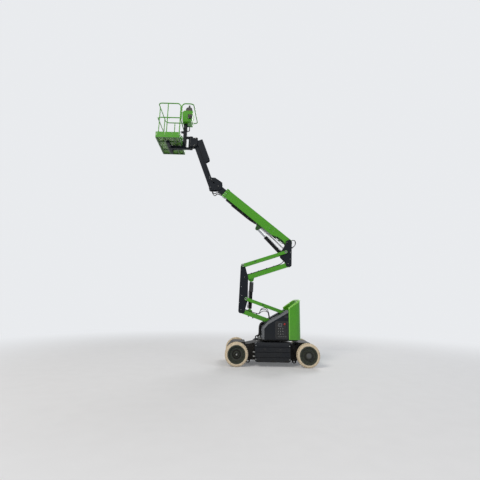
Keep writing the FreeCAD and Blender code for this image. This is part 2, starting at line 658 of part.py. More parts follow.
def power_unit():
    rear, front, half, low, top = POWER_UNIT
    return box(rear, front, -half, half, low, top).cut(box(MAST_WAY[0], front + 1, -MAST_WAY[1], MAST_WAY[1],
                                                           low - 1, top + 1))


# Riser links

def ear_pair(pin, root, inner, thickness, edge):
    """Two ears for a cylinder pin, from a face at height root to round ends about the pin."""
    along, above = pin
    grow = 1 if above > root else -1
    base = root - grow * WALL / 2
    points = [(along - edge - 45, base), (along + edge + 45, base), (along + edge, above + grow * edge, edge - 1),
              (along - edge, above + grow * edge, edge - 1)]
    return both_sides(side_plate(points, inner, inner + thickness))


def pin_caps(pin, radius, inner, outer):
    """Keeper plates on the outer faces of two ears."""
    return both_sides(rod_y(pin[0], pin[1], radius, inner, outer))


def box_link(depth, pin, holds_pin):
    """Hollow rectangular link with round ends, built along +X from its first pin.

    The face towards the cylinder pin is slotted for the cylinder's eye, between two ears.
    """
    half = depth / 2
    grow = 1 if pin[1] > 0 else -1
    shape = side_plate([(-half, -half), (LINK_LENGTH + half, -half), (LINK_LENGTH + half, half), (-half, half)],
                       -LINK_HALF_WIDTH, LINK_HALF_WIDTH, half - 0.5)
    room = box(60, LINK_LENGTH - 60, -LINK_HALF_WIDTH + WALL, LINK_HALF_WIDTH - WALL, -half + WALL, half - WALL)
    face = (min(grow * (half - WALL - 1), grow * (half + 1)), max(grow * (half - WALL - 1), grow * (half + 1)))
    slot = box(pin[0] - EAR_EDGE, pin[0] + EAR_EDGE, -EAR_IN, EAR_IN, face[0], face[1])
    bores = [rod_y(x, 0, PIN_R + PIN_CLEAR, -200, 200) for x in (0, LINK_LENGTH)]
    shape = cut(shape, [room, slot] + bores)
    held = [rod_y(pin[0], pin[1], EYE_PIN_R, -EAR_IN - EAR - 8, EAR_IN + EAR + 8)] if holds_pin else \
        pin_caps(pin, EYE_PIN_R + 6, EAR_IN + EAR - 4, EAR_IN + EAR + 8)
    return fuse([shape] + ear_pair(pin, grow * half, EAR_IN, EAR, EAR_EDGE) + held)


def bar_pair(angle_pin, angle):
    """Two flat bars outside the plates, with rounded ends, built as one node of two solids."""
    half = BAR_DEPTH / 2
    bar = side_plate([(-half, -half, half - 0.5), (LINK_LENGTH + half, -half, half - 0.5),
                      (LINK_LENGTH + half, half, half - 0.5), (-half, half, half - 0.5)], BAR_IN, BAR_OUT)
    bar = bar.cut(Part.makeCompound([rod_y(x, 0, PIN_R + PIN_CLEAR, 0, 400) for x in (0, LINK_LENGTH)]))
    return placed(Part.makeCompound(both_sides(bar)), angle_pin, angle)


def cylinder_pair(base, tip, bore_r, rod_r, closed):
    """Hydraulic cylinder between two pins: the barrel with its tail eye and gland, and the rod with its eye.

    closed is the least distance between its pins. The rod's eye carries a stub of its pin.
    """
    span = math.hypot(tip[0] - base[0], tip[1] - base[1])
    angle = math.degrees(math.atan2(tip[1] - base[1], tip[0] - base[0]))
    neck = EYE_R + 26
    head = closed - EYE_R - 18
    gland = 45
    tube = rod_x(0, 0, bore_r, neck, head - gland)
    parts = [tube, rod_x(0, 0, bore_r + 5, head - gland, head), rod_x(0, 0, EYE_HALF * 0.9, EYE_R * 0.8, neck + 1),
             rod_y(0, 0, EYE_R, -EYE_HALF, EYE_HALF)]
    barrel = cut(fuse(parts), [rod_x(0, 0, rod_r + PIN_CLEAR, neck + 12, head + 1),
                               rod_y(0, 0, EYE_PIN_R + PIN_CLEAR, -200, 200)])
    inside = closed - neck - 24 - EYE_R - 18
    rod = fuse([rod_x(0, 0, rod_r, span - EYE_R - 18 - inside, span - EYE_R * 0.6),
                rod_y(span, 0, EYE_R, -EYE_HALF, EYE_HALF)])
    return placed(barrel, base, angle), placed(rod, base, angle)


def build():
    nodes = {}
    half_base = WHEELBASE / 2
    nodes["chassis_frame"] = chassis_frame()
    nodes["front_cover"] = end_cover(1)
    nodes["rear_cover"] = end_cover(-1)
    nodes["side_box_left"] = side_box(1)
    nodes["side_box_right"] = side_box(-1)
    nodes["steer_axle"] = steer_axle()
    nodes["drive_axle"] = drive_axle()
    nodes["slew_ring"] = slew_ring()
    nodes["knuckle_left"] = knuckle(1)
    nodes["knuckle_right"] = knuckle(-1)
    nodes["tie_rod"] = tie_rod()
    for end, x in (("front", half_base), ("rear", -half_base)):
        for name, side in (("left", 1), ("right", -1)):
            nodes["tyre_%s_%s" % (end, name)] = tyre(x, side)
            nodes["rim_%s_%s" % (end, name)] = rim(x, side, end == "rear")
    nodes["turntable_deck"] = turntable_deck()
    nodes["riser_mast"] = riser_mast()
    nodes["tail_cover"] = tail_cover()
    nodes["power_unit"] = power_unit()
    nodes["control_panel"] = control_panel()
    for name, side in (("left", 1), ("right", -1)):
        nodes["hood_" + name] = hood(side)
        nodes["hood_door_" + name] = hood_door(side)
    nodes.update(riser())
    nodes.update(boom())
    nodes.update(jib())
    nodes.update(platform())
    return nodes


def pins(at, radius, inner, outer):
    """A pin split in two at the centre plane, from inner to outer on each side, or one pin if inner is 0."""
    if inner == 0:
        return [rod_y(at[0], at[1], radius, -outer, outer)]
    return both_sides(rod_y(at[0], at[1], radius, inner, outer))


def riser():
    """The two parallelograms, the two uprights and the cylinder between the stages."""
    nodes = {}
    nodes["lower_link_1"] = placed(box_link(LINK1_DEPTH, RISER_BASE, True), T1, LINK_ANGLE)
    nodes["upper_link_1"] = bar_pair(T2, LINK_ANGLE)
    nodes["lower_link_2"] = placed(box_link(LINK2_DEPTH, RISER_TIP, False), U1, -LINK_ANGLE)
    nodes["upper_link_2"] = bar_pair(U2, -LINK_ANGLE)
    nodes["riser_barrel"], nodes["riser_rod"] = cylinder_pair(RISER_BASE_PIN, RISER_TIP_PIN, RISER_BORE_R,
                                                              RISER_ROD_R, RISER_CLOSED)
    nodes["mid_upright"] = mid_upright()
    nodes["upper_upright"] = upper_upright()
    return nodes


def mid_upright():
    """Two side plates and a front web that tie the two stages together."""
    edge = UPRIGHT_EDGE
    plate_out = PLATE_IN + PLATE
    plate = side_plate([(M2[0] - 52, M2[1] - 40, 40), (M1[0] - 80, M1[1] - edge, 50), (M1[0] + edge + 20, M1[1] - edge, 60),
                        (M4[0] + 62, M4[1] - 10, 40), (M4[0] + 40, M4[1] + 50, 30), (M4[0] - 46, M4[1] + 46, 30),
                        (M3[0] - edge - 30, M3[1] + 20, 40), (M2[0] - 52, M2[1] + 120, 40)], PLATE_IN, plate_out)
    web = side_plate([(M1[0] + edge + 5, M1[1] + 10), (M1[0] + edge + 17, M1[1] + 10), (M4[0] + 65, M4[1] - MID_WEB_DROP),
                      (M4[0] + 53, M4[1] - MID_WEB_DROP)], -PLATE_IN - 1, PLATE_IN + 1)
    parts = both_sides(plate) + [web]
    for at in (M1, M3):
        parts += pins(at, PIN_R, 0, plate_out + 1)
    for at in (M2, M4):
        parts += pins(at, PIN_R, PLATE_IN, BAR_OUT + 6)
    return fuse(parts)


def upper_upright():
    """Two side plates with a rear web, which carry the boom and the foot of its cylinder."""
    pivot = BOOM_PIVOT
    foot = BOOM_BASE_PIN
    plate_out = PLATE_IN + PLATE
    plate = side_plate([(U1[0] - 100, U1[1] - 56, 40), (U1[0] + 60, U1[1] - 56, 50), (U1[0] + 70, U1[1] + 90, 40),
                        (foot[0] + 58, foot[1] - 60, 40), (foot[0] + 58, foot[1] + 60, 40),
                        (pivot[0] + 75, pivot[1] - 50, 60), (pivot[0] + 60, pivot[1] + 60, 50),
                        (pivot[0] - 60, pivot[1] + 120, 30), (pivot[0] - 116, pivot[1] + 60, 30)], PLATE_IN, plate_out)
    web = side_plate([(U1[0] - 98, U1[1] + 60), (U1[0] - 86, U1[1] + 60), (pivot[0] - 98, pivot[1] - 190),
                      (pivot[0] - 110, pivot[1] - 190)], -PLATE_IN - 1, PLATE_IN + 1)
    parts = both_sides(plate) + [web]
    parts += pins(U1, PIN_R, 0, plate_out + 1)
    parts += pins(pivot, BOOM_PIN_R, 0, plate_out + 8)
    parts += pins(foot, EYE_PIN_R, 0, plate_out + 1)
    parts += pins(foot, 40, EAR_IN, PLATE_IN + 1)
    parts += pins(U2, PIN_R, PLATE_IN, BAR_OUT + 6)
    return fuse(parts)


def boom():
    """Main boom, its telescope and its cylinder."""
    nodes = {}
    low = BOOM_RISE - BOOM_DEPTH / 2
    top = BOOM_RISE + BOOM_DEPTH / 2
    w = BOOM_HALF_WIDTH
    body = side_plate([(-BOOM_TAIL, top - 60, 20), (-BOOM_TAIL + 70, top, 20), (BOOM_LENGTH, top), (BOOM_LENGTH, low),
                       (520, low, 160), (330, low + BOOM_CUT, 160), (110, low + BOOM_CUT, 60), (50, low + 40, 40),
                       (-50, low + 40, 40), (-BOOM_TAIL, low + 90, 30)], -w, w)
    room = box(-BOOM_TAIL + 12, BOOM_LENGTH + 1, -w + WALL, w - WALL, low + WALL, top - WALL)
    pin = (BOOM_CYL_ALONG, -BOOM_CYL_BELOW)
    slot = box(pin[0] - 90, pin[0] + 70, -EAR_IN, EAR_IN, low - 1, low + WALL + 1)
    body = cut(body, [room, slot])
    tube = rod_y(0, 0, 46, -w, w)
    ears = ear_pair(pin, low, EAR_IN, EAR, EAR_EDGE)
    caps = pin_caps(pin, EYE_PIN_R + 6, EAR_IN + EAR - 4, EAR_IN + EAR + 8)
    skirt = side_plate([(-70, low + 50, 30), (90, low + 50, 30), (160, low + 20, 60), (330, low + 20, 60),
                        (470, low + 12), (470, low + 130), (-70, low + 130)], w - WALL - 8, w - WALL + 1)
    for along in (185, 320):
        skirt = skirt.cut(side_plate([(along - 45, low + 32), (along + 45, low + 32), (along + 45, low + 66),
                                      (along - 45, low + 66)], 0, w, 16.9))
    body = fuse([body, tube] + ears + caps + both_sides(skirt))
    body = body.cut(rod_y(0, 0, BOOM_PIN_R + PIN_CLEAR, -400, 400))
    nodes["main_boom"] = placed(body, BOOM_PIVOT, BOOM_ANGLE)

    start, end, half, height = TRAY
    tray = box(start, end, -half, half, low - SEAT - height, low - SEAT)
    tray = tray.cut(box(start - 1, end + 1, -half + TRAY_WALL, half - TRAY_WALL, low - SEAT - height + TRAY_WALL,
                        low - SEAT - TRAY_WALL))
    nodes["hose_tray"] = placed(tray, BOOM_PIVOT, BOOM_ANGLE)

    ext_half = EXT_DEPTH / 2
    collar = box(BOOM_LENGTH, BOOM_LENGTH + COLLAR_LENGTH, -w - COLLAR_PROUD, w + COLLAR_PROUD, low - COLLAR_PROUD,
                 top + COLLAR_PROUD)
    opening = box(0, 2 * BOOM_LENGTH, -EXT_HALF_WIDTH - SLIDE_CLEAR, EXT_HALF_WIDTH + SLIDE_CLEAR,
                  -ext_half - SLIDE_CLEAR, ext_half + SLIDE_CLEAR)
    nodes["boom_collar"] = placed(collar.cut(opening), BOOM_PIVOT, BOOM_ANGLE)

    tail = BOOM_LENGTH - EXT_OVERLAP
    end = BOOM_LENGTH + HEAD_AHEAD
    tube = square_tube(end - tail - 60, EXT_HALF_WIDTH, EXT_DEPTH, WALL)
    tube.translate(vec(tail, 0, 0))
    pads = box(tail, tail + 60, -w + WALL + SLIDE_CLEAR, w - WALL - SLIDE_CLEAR, low + WALL + SLIDE_CLEAR,
               top - WALL - SLIDE_CLEAR)
    pads = pads.cut(box(tail - 1, tail + 61, -EXT_HALF_WIDTH + WALL, EXT_HALF_WIDTH - WALL, -ext_half + WALL,
                        ext_half - WALL))
    nose = side_plate([(end - 130, -ext_half), (end, -ext_half + 20, 40), (end + 70, 0, 60), (end, ext_half - 20, 40),
                       (end - 130, ext_half)], -EXT_HALF_WIDTH, EXT_HALF_WIDTH)
    ext = fuse([tube, nose, pads]).cut(rod_y(end, 0, PIN_R + PIN_CLEAR, -200, 200))
    nodes["boom_extension"] = placed(ext, BOOM_PIVOT, BOOM_ANGLE)
    nodes["boom_barrel"], nodes["boom_rod"] = cylinder_pair(BOOM_BASE_PIN, BOOM_TIP_PIN, BOOM_BORE_R, BOOM_ROD_R,
                                                            BOOM_CLOSED)
    return nodes


def jib():
    """Level head, jib arm with its level link, cover and cylinder, and the tip bracket."""
    nodes = {}
    nodes["jib_head"] = jib_head()
    side = side_plate([(-55, -JIB_BELOW, 44), (JIB_LENGTH + 55, -JIB_BELOW, 44), (JIB_LENGTH + 55, 54, 50),
                       (JIB_LENGTH - 160, JIB_ABOVE, 40), (160, JIB_ABOVE, 40), (-55, 54, 50)],
                      JIB_HALF_WIDTH - JIB_WALL, JIB_HALF_WIDTH)
    web = box(80, JIB_LENGTH - 80, -JIB_HALF_WIDTH, JIB_HALF_WIDTH, -JIB_BELOW, -JIB_BELOW + JIB_WALL)
    bores = [rod_y(x, 0, PIN_R + PIN_CLEAR, -200, 200) for x in (0, JIB_LENGTH)]
    nodes["jib_arm"] = placed(cut(fuse(both_sides(side) + [web]), bores), J1, JIB_ANGLE)

    half = JIB_BAR_DEPTH / 2
    bar = box(0, JIB_LENGTH, JIB_BAR_IN, JIB_BAR_OUT, -half, half)
    eyes = [rod_y(x, 0, half + 14, JIB_BAR_IN, JIB_BAR_OUT) for x in (0, JIB_LENGTH)]
    bar = cut(fuse([bar] + eyes), bores)
    nodes["jib_level_link"] = placed(Part.makeCompound(both_sides(bar)), J2, JIB_ANGLE)
    x1 = JIB_LENGTH - COVER_SHORT
    x0 = x1 - COVER_LENGTH_JIB
    cover = side_plate([(x0, half), (x1, half), (x1, COVER_ABOVE, 20), (x0 + 30, COVER_ABOVE, 40)],
                       -JIB_BAR_OUT, JIB_BAR_OUT)
    cover = cover.cut(box(x0 - 1, x1 + 1, -JIB_BAR_IN, JIB_BAR_IN, 0, COVER_ABOVE - 8))
    nodes["jib_cover"] = placed(cover, J2, JIB_ANGLE)
    nodes["jib_barrel"], nodes["jib_rod"] = cylinder_pair(K2, J1, JIB_BORE_R, JIB_ROD_R, JIB_LENGTH - JIB_SLACK)
    nodes["jib_tip"] = jib_tip()
    return nodes


def jib_head():
    """Two plates kept level, between the telescope and the jib, with a see-through hole."""
    plate = side_plate([(J1[0] + 20, J2[1] + 100, 25), (J1[0] - 120, J2[1] + 95, 30),
                        (HEAD_PIN[0] - 130, HEAD_PIN[1] + 145, 40), (HEAD_PIN[0] - 110, HEAD_PIN[1] - 40, 60),
                        (HEAD_PIN[0] - 30, HEAD_PIN[1] - 90, 50), (J1[0] + 10, J1[1] - 62, 50),
                        (J1[0] + 62, J1[1] - 30, 50), (J1[0] + 52, J2[1], 40)], HEAD_IN, HEAD_OUT)
    hole = side_plate([(J2[0] - 105, J2[1] - 90), (J2[0] - 28, J2[1] - 90), (J2[0] - 28, J2[1] - 40),
                       (J2[0] - 105, J2[1] - 40)], 0, 200, 24)
    parts = both_sides(plate.cut(hole))
    parts.append(box(HEAD_PIN[0] - 20, HEAD_PIN[0] + 60, -HEAD_IN - 1, HEAD_IN + 1, HEAD_PIN[1] + 122, HEAD_PIN[1] + 134))
    parts += pins(HEAD_PIN, PIN_R, 0, HEAD_OUT + 8)
    parts += pins(J1, PIN_R, JIB_HALF_WIDTH - JIB_WALL, HEAD_OUT + 8)
    parts += pins(J2, PIN_R, JIB_BAR_IN, HEAD_OUT + 8)
    return fuse(parts)


def jib_tip():
    """Two plates on the jib's end pins that carry the platform's upright swivel."""
    plate = side_plate([(K1[0] - 30, K1[1] - 38, 34), (SWIVEL_X, K1[1] - 34, 20), (SWIVEL_X, K2[1] + 16, 20),
                        (SWIVEL_X - 90, K2[1] + 16, 30), (K2[0] + 40, K2[1] + 34, 20), (K2[0] - 40, K2[1] + 34, 36),
                        (K2[0] - 42, K2[1] - 50, 40)], HEAD_IN, HEAD_OUT)
    parts = both_sides(plate)
    parts.append(rod_z(SWIVEL_X, 0, SWIVEL_R, SWIVEL_Z[0], SWIVEL_Z[1]))
    reach = YOKE_GAP + YOKE_PLATE + 14
    parts.append(rod_z(SWIVEL_X, 0, SPIGOT_R, SWIVEL_Z[0] - reach, SWIVEL_Z[1] + reach))
    parts.append(box(SWIVEL_X - 10, SWIVEL_X + 10, -HEAD_OUT, HEAD_OUT, SWIVEL_Z[0] + 30, SWIVEL_Z[1] - 30))
    parts += pins(K1, PIN_R, JIB_HALF_WIDTH - JIB_WALL, HEAD_OUT + 8)
    parts += pins(K2, EYE_PIN_R, 0, HEAD_OUT + 8)
    parts += pins(K2, PIN_R, JIB_BAR_IN, HEAD_OUT + 8)
    return fuse(parts)


def platform():
    """Support on the swivel, floor frame, toe boards, rails, console and gate."""
    return {"platform_support": platform_support(), "platform_floor": platform_floor(), "toe_board": toe_board(),
            "guard_rails": guard_rails(), "console": console(), "control_cover": control_cover(), "gate": gate()}


def platform_support():
    """Yoke over and under the swivel, the post behind the basket and the arms below its floor."""
    lower = SWIVEL_Z[0] - YOKE_GAP
    upper = SWIVEL_Z[1] + YOKE_GAP
    parts = []
    for z0 in (lower - YOKE_PLATE, upper):
        parts.append(rod_z(SWIVEL_X, 0, YOKE_R, z0, z0 + YOKE_PLATE))
        parts.append(box(SWIVEL_X, POST_X[0] + 20, -POST_HALF + 4, POST_HALF - 4, z0, z0 + YOKE_PLATE))
    post = box(POST_X[0], POST_X[1], -POST_HALF, POST_HALF, lower - YOKE_PLATE + 5, POST_TOP)
    hollow = box(POST_X[0] + WALL, POST_X[1] - WALL, -POST_HALF + WALL, POST_HALF - WALL, upper + YOKE_PLATE + 10,
                 POST_TOP - WALL)
    parts.append(post.cut(hollow))
    parts.append(box(POST_X[1] - 10, FLOOR_BEAM_X[1] - 20, -FLOOR_ARM_HALF, FLOOR_ARM_HALF, lower - YOKE_PLATE + 5,
                     FLOOR_Z - SEAT))
    parts.append(box(FLOOR_BEAM_X[0], FLOOR_BEAM_X[1], -FLOOR_BEAM_HALF, FLOOR_BEAM_HALF, lower - YOKE_PLATE + 15,
                     FLOOR_Z - SEAT))
    parts.append(side_plate([(POST_X[1] - 4, ANCHOR[1] - 45), (ANCHOR[0] + 28, ANCHOR[1] - 28, 26),
                             (ANCHOR[0] + 28, ANCHOR[1] + 28, 26), (POST_X[1] - 4, ANCHOR[1] + 45)], -6, 6))
    bores = [rod_z(SWIVEL_X, 0, SPIGOT_R + PIN_CLEAR, z0 - 1, z0 + YOKE_PLATE + 1) for z0 in (lower - YOKE_PLATE, upper)]
    return cut(fuse(parts), bores + [rod_y(ANCHOR[0], ANCHOR[1], ANCHOR_R, -20, 20)])


def platform_floor():
    """Thin floor plate on a frame of ribs."""
    x0, x1 = BASKET_X
    h = BASKET_HALF
    width, height = RIB
    edge = 8
    plate = flat_plate([(x0 + edge, -h + edge), (x1 - edge, -h + edge), (x1 - edge, h - edge), (x0 + edge, h - edge)],
                       FLOOR_Z + height, FLOOR_Z + height + FLOOR_PLATE, 30)
    parts = [plate]
    for x in (x0 + 30, x0 + 185, x0 + 475, x1 - 30):
        parts.append(box(x - width / 2, x + width / 2, -h + 30, h - 30, FLOOR_Z, FLOOR_Z + height + 1))
    for y in (-h + 30, -290, 300, h - 30):
        parts.append(box(x0 + 30, x1 - 30, y - width / 2, y + width / 2, FLOOR_Z + 2, FLOOR_Z + height + 1))
    return fuse(parts)


def toe_board():
    x0, x1 = BASKET_X
    h = BASKET_HALF

    def ring(inset, z0, z1):
        return flat_plate([(x0 + inset, -h + inset), (x1 - inset, -h + inset), (x1 - inset, h - inset),
                           (x0 + inset, h - inset)], z0, z1, TOE_CORNER - inset)
    return ring(0, FLOOR_Z, TOE_TOP).cut(ring(TOE_WALL, FLOOR_Z - 1, TOE_TOP + 1))


def guard_rails():
    """Top and middle rails with round corners, their posts, and the loop round the console."""
    x0, x1 = BASKET_X
    r = RAIL_R
    c = RAIL_INSET
    h = BASKET_HALF - c
    foot = TOE_TOP - 110
    rails = []
    for y in (-h, h):
        rails.append(tube_run([vec(x0 + c, y, foot), vec(x0 + c, y, RAIL_TOP), vec(x1 - c, y, RAIL_TOP),
                               vec(x1 - c, 0, RAIL_TOP)], r, RAIL_BEND))
        mid_start = x0 + c if y > 0 else GATE_X[1] + 60
        rails.append(tube_run([vec(mid_start, y, RAIL_MID), vec(x1 - c, y, RAIL_MID), vec(x1 - c, 0, RAIL_MID)],
                              RAIL_MID_R, RAIL_BEND))
        rails.append(straight_tube(vec(GATE_X[1] + 60, y, foot), vec(GATE_X[1] + 60, y, RAIL_TOP), RAIL_POST_R))
        rails.append(straight_tube(vec(x1 - c, y * 0.6, foot), vec(x1 - c, y * 0.6, RAIL_TOP), RAIL_POST_R))
        rails.append(tube_run([vec(x0 + c - 2 * r + 2, y, RAIL_MID - 40), vec(x0 + c - 2 * r + 2, y, RAIL_TOP),
                               vec(GUARD_X + c, y, RAIL_TOP), vec(GUARD_X + c, 0, RAIL_TOP)], r, RAIL_BEND))
    rails.append(straight_tube(vec(x0 + c, -h, RAIL_MID), vec(x0 + c, h, RAIL_MID), RAIL_POST_R))
    rails.append(straight_tube(vec(GATE_POST_X, -h, foot), vec(GATE_POST_X, -h, RAIL_TOP), RAIL_POST_R))
    return fuse(rails)


def console():
    """Upper controls: a box open to the operator, carried on the post."""
    x0, x1 = CONSOLE_X
    z0, z1 = CONSOLE_Z
    shell = side_plate([(x0 + 40, z0), (x1 - 20, z0), (x1, z1 - 60), (x1 - 60, z1), (x0, z1)], -CONSOLE_HALF,
                       CONSOLE_HALF, 14)
    room = box(x0 + 30, x1 + 5, -CONSOLE_HALF + 8, CONSOLE_HALF - 8, z0 + 30, z1 - 120)
    return shell.cut(room)


def control_cover():
    """Rounded cover over the control levers, with the stalk of its lamp."""
    x0 = CONSOLE_X[0] + COVER_BACK
    x1 = x0 + COVER_DEPTH
    z0 = CONSOLE_Z[1] + SEAT
    z1 = z0 + COVER_HEIGHT
    dome = side_plate([(x0, z0), (x1, z0), (x1, z1 - 60, 30), (x1 - 50, z1, 50), (x0, z1, 70)], -COVER_HALF, COVER_HALF)
    stalk = rod_z(x0 + COVER_DEPTH / 2, 0, 9, z1 - 5, z1 + 70)
    lamp = rod_z(x0 + COVER_DEPTH / 2, 0, 28, z1 + 50, z1 + 100)
    return fuse([dome, stalk, lamp])


def gate():
    """Half-height gate below the top rail, on the right side."""
    y = -BASKET_HALF + RAIL_INSET
    x0, x1 = GATE_X
    z0, z1 = GATE_Z
    r = GATE_TUBE_R
    frame = tube_run([vec(x1 - 60, y, z0 + r), vec(x0 + r, y, z0 + r), vec(x0 + r, y, z1 - r), vec(x1 - r, y, z1 - r),
                      vec(x1 - r, y, z0 + r), vec(x1 - 70, y, z0 + r)], r, 50)
    bar = straight_tube(vec(x0 + r, y, (z0 + z1) / 2), vec(x1 - r, y, (z0 + z1) / 2), r)
    parts = [frame, bar]
    for z in (z0 + 90, z1 - 130):
        parts.append(rod_z(GATE_POST_X, y, RAIL_POST_R + 9, z, z + 40))
        parts.append(box(GATE_POST_X, x0 + r, y - 6, y + 6, z + 4, z + 36))
    return cut(fuse(parts), [rod_z(GATE_POST_X, y, RAIL_POST_R + PIN_CLEAR, z0, z1)])


os.makedirs("parts", exist_ok=True)
for name, shape in build().items():
    shape.exportStep("parts/%s.step" % name)
    print(name, shape.isValid(), round(shape.Volume / 1e9, 5), len(shape.Solids))
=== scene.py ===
import bmesh
import bpy
import itertools
import json
import math
import numpy as np
from mathutils import Matrix, Vector

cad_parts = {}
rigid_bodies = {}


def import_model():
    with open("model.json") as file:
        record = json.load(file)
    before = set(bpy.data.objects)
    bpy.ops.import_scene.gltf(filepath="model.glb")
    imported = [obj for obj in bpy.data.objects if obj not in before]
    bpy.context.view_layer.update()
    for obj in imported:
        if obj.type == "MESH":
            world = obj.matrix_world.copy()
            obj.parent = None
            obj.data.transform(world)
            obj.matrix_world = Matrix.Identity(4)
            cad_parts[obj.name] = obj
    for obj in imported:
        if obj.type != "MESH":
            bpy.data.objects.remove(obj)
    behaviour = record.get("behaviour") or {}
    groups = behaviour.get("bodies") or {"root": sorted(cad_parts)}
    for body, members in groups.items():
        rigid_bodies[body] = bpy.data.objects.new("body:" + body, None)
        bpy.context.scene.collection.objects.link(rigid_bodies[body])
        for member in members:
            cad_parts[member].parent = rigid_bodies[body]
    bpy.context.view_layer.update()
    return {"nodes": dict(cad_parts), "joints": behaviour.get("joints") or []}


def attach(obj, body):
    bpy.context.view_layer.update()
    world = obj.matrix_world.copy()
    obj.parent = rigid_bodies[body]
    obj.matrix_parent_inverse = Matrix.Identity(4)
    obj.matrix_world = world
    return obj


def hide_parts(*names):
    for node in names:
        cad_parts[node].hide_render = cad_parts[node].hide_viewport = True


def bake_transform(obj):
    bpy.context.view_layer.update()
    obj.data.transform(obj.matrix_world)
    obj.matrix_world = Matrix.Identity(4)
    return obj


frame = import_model()
nodes = frame["nodes"]
joints = {joint["name"]: joint for joint in frame["joints"]}
sceneObjects = bpy.context.scene.collection.objects
turnFull = 2 * math.pi


# Places that the other pieces are worked out from: every pin, as an (x, z) pair in the centre plane

def pinOf(jointName):
    place = joints[jointName]["pos_m"]
    return np.array([place[0], place[2]])


pins = {
    "mastLower": pinOf("riser_lift"),
    "mastUpper": pinOf("upper_link_1_swing"),
    "midLower": pinOf("mid_upright_level"),
    "stageLower": pinOf("lower_link_2_swing"),
    "stageUpper": pinOf("upper_link_2_swing"),
    "topLower": pinOf("upper_upright_level"),
    "riserFoot": pinOf("riser_barrel_swing"),
    "boomPivot": pinOf("boom_lift"),
    "boomFoot": pinOf("boom_barrel_swing"),
    "head": pinOf("head_level"),
    "jibLower": pinOf("jib_lift"),
    "jibUpper": pinOf("jib_level_link_swing"),
    "tipLower": pinOf("jib_tip_level"),
    "tipUpper": pinOf("jib_barrel_swing"),
}
pins["midUpper"] = pins["mastUpper"] + pins["midLower"] - pins["mastLower"]
pins["topUpper"] = pins["stageUpper"] + pins["topLower"] - pins["stageLower"]


def slideAngle(jointName):
    axis = joints[jointName]["axis"]
    return math.atan2(axis[2], axis[0])


def angleBetween(start, end):
    run = pins[end] - pins[start]
    return math.atan2(run[1], run[0])


angles = {
    "link": angleBetween("mastLower", "midLower"),
    "boom": slideAngle("boom_extend"),
    "boomRod": slideAngle("boom_rod_stroke"),
    "riserRod": slideAngle("riser_rod_stroke"),
    "jib": angleBetween("jibLower", "tipLower"),
    "jibRod": slideAngle("jib_rod_stroke"),
}


def placeOn(pinName, angle, points):
    # turns points given as (along, y, above) up by the angle and moves them to the pin
    local = np.asarray(points, float)
    cosine, sine = math.cos(angle), math.sin(angle)
    x = pins[pinName][0] + local[..., 0] * cosine - local[..., 2] * sine
    z = pins[pinName][1] + local[..., 0] * sine + local[..., 2] * cosine
    return np.stack([x, local[..., 1], z], axis=-1)


# the riser rod's eye hangs below lower link 2, near its front pin
pins["riserTip"] = placeOn("topLower", -angles["link"], (1.130, 0, -0.100))[[0, 2]]


# Materials

def linearColour(hexValue, alpha=1.0):
    # sRGB hex value to linear red, green and blue
    parts = [int(hexValue[i:i + 2], 16) / 255 for i in (1, 3, 5)]
    return [p / 12.92 if p <= 0.04045 else ((p + 0.055) / 1.055) ** 2.4 for p in parts] + [alpha]


def addNode(tree, kind, links=(), **settings):
    # adds a node, sets its properties or input values, and links sockets to its inputs
    made = tree.nodes.new(kind)
    for key, value in settings.items():
        if key in made.bl_rna.properties:
            setattr(made, key, value)
        else:
            made.inputs[int(key[1:]) if key[0] == "i" and key[1:].isdigit() else key.replace("_", " ")].default_value = value
    for inputName, socket in dict(links).items():
        tree.links.new(socket, made.inputs[inputName])
    return made


def startMaterial(name):
    made = bpy.data.materials.new(name)
    made.use_nodes = True
    tree = made.node_tree
    return made, tree, tree.nodes["Principled BSDF"]


coatFinish = {
    "edgeRadius": 0.004,     # metres; the visible rounding of a sheared or folded steel edge
    "dustHeight": 1.3,       # metres above the floor where road dust has thinned out
    "dustColour": "#8B8478",
    "peelSize": 0.004,       # metres from one ripple of the sprayed coat to the next
    "scuffSize": 0.18,
}


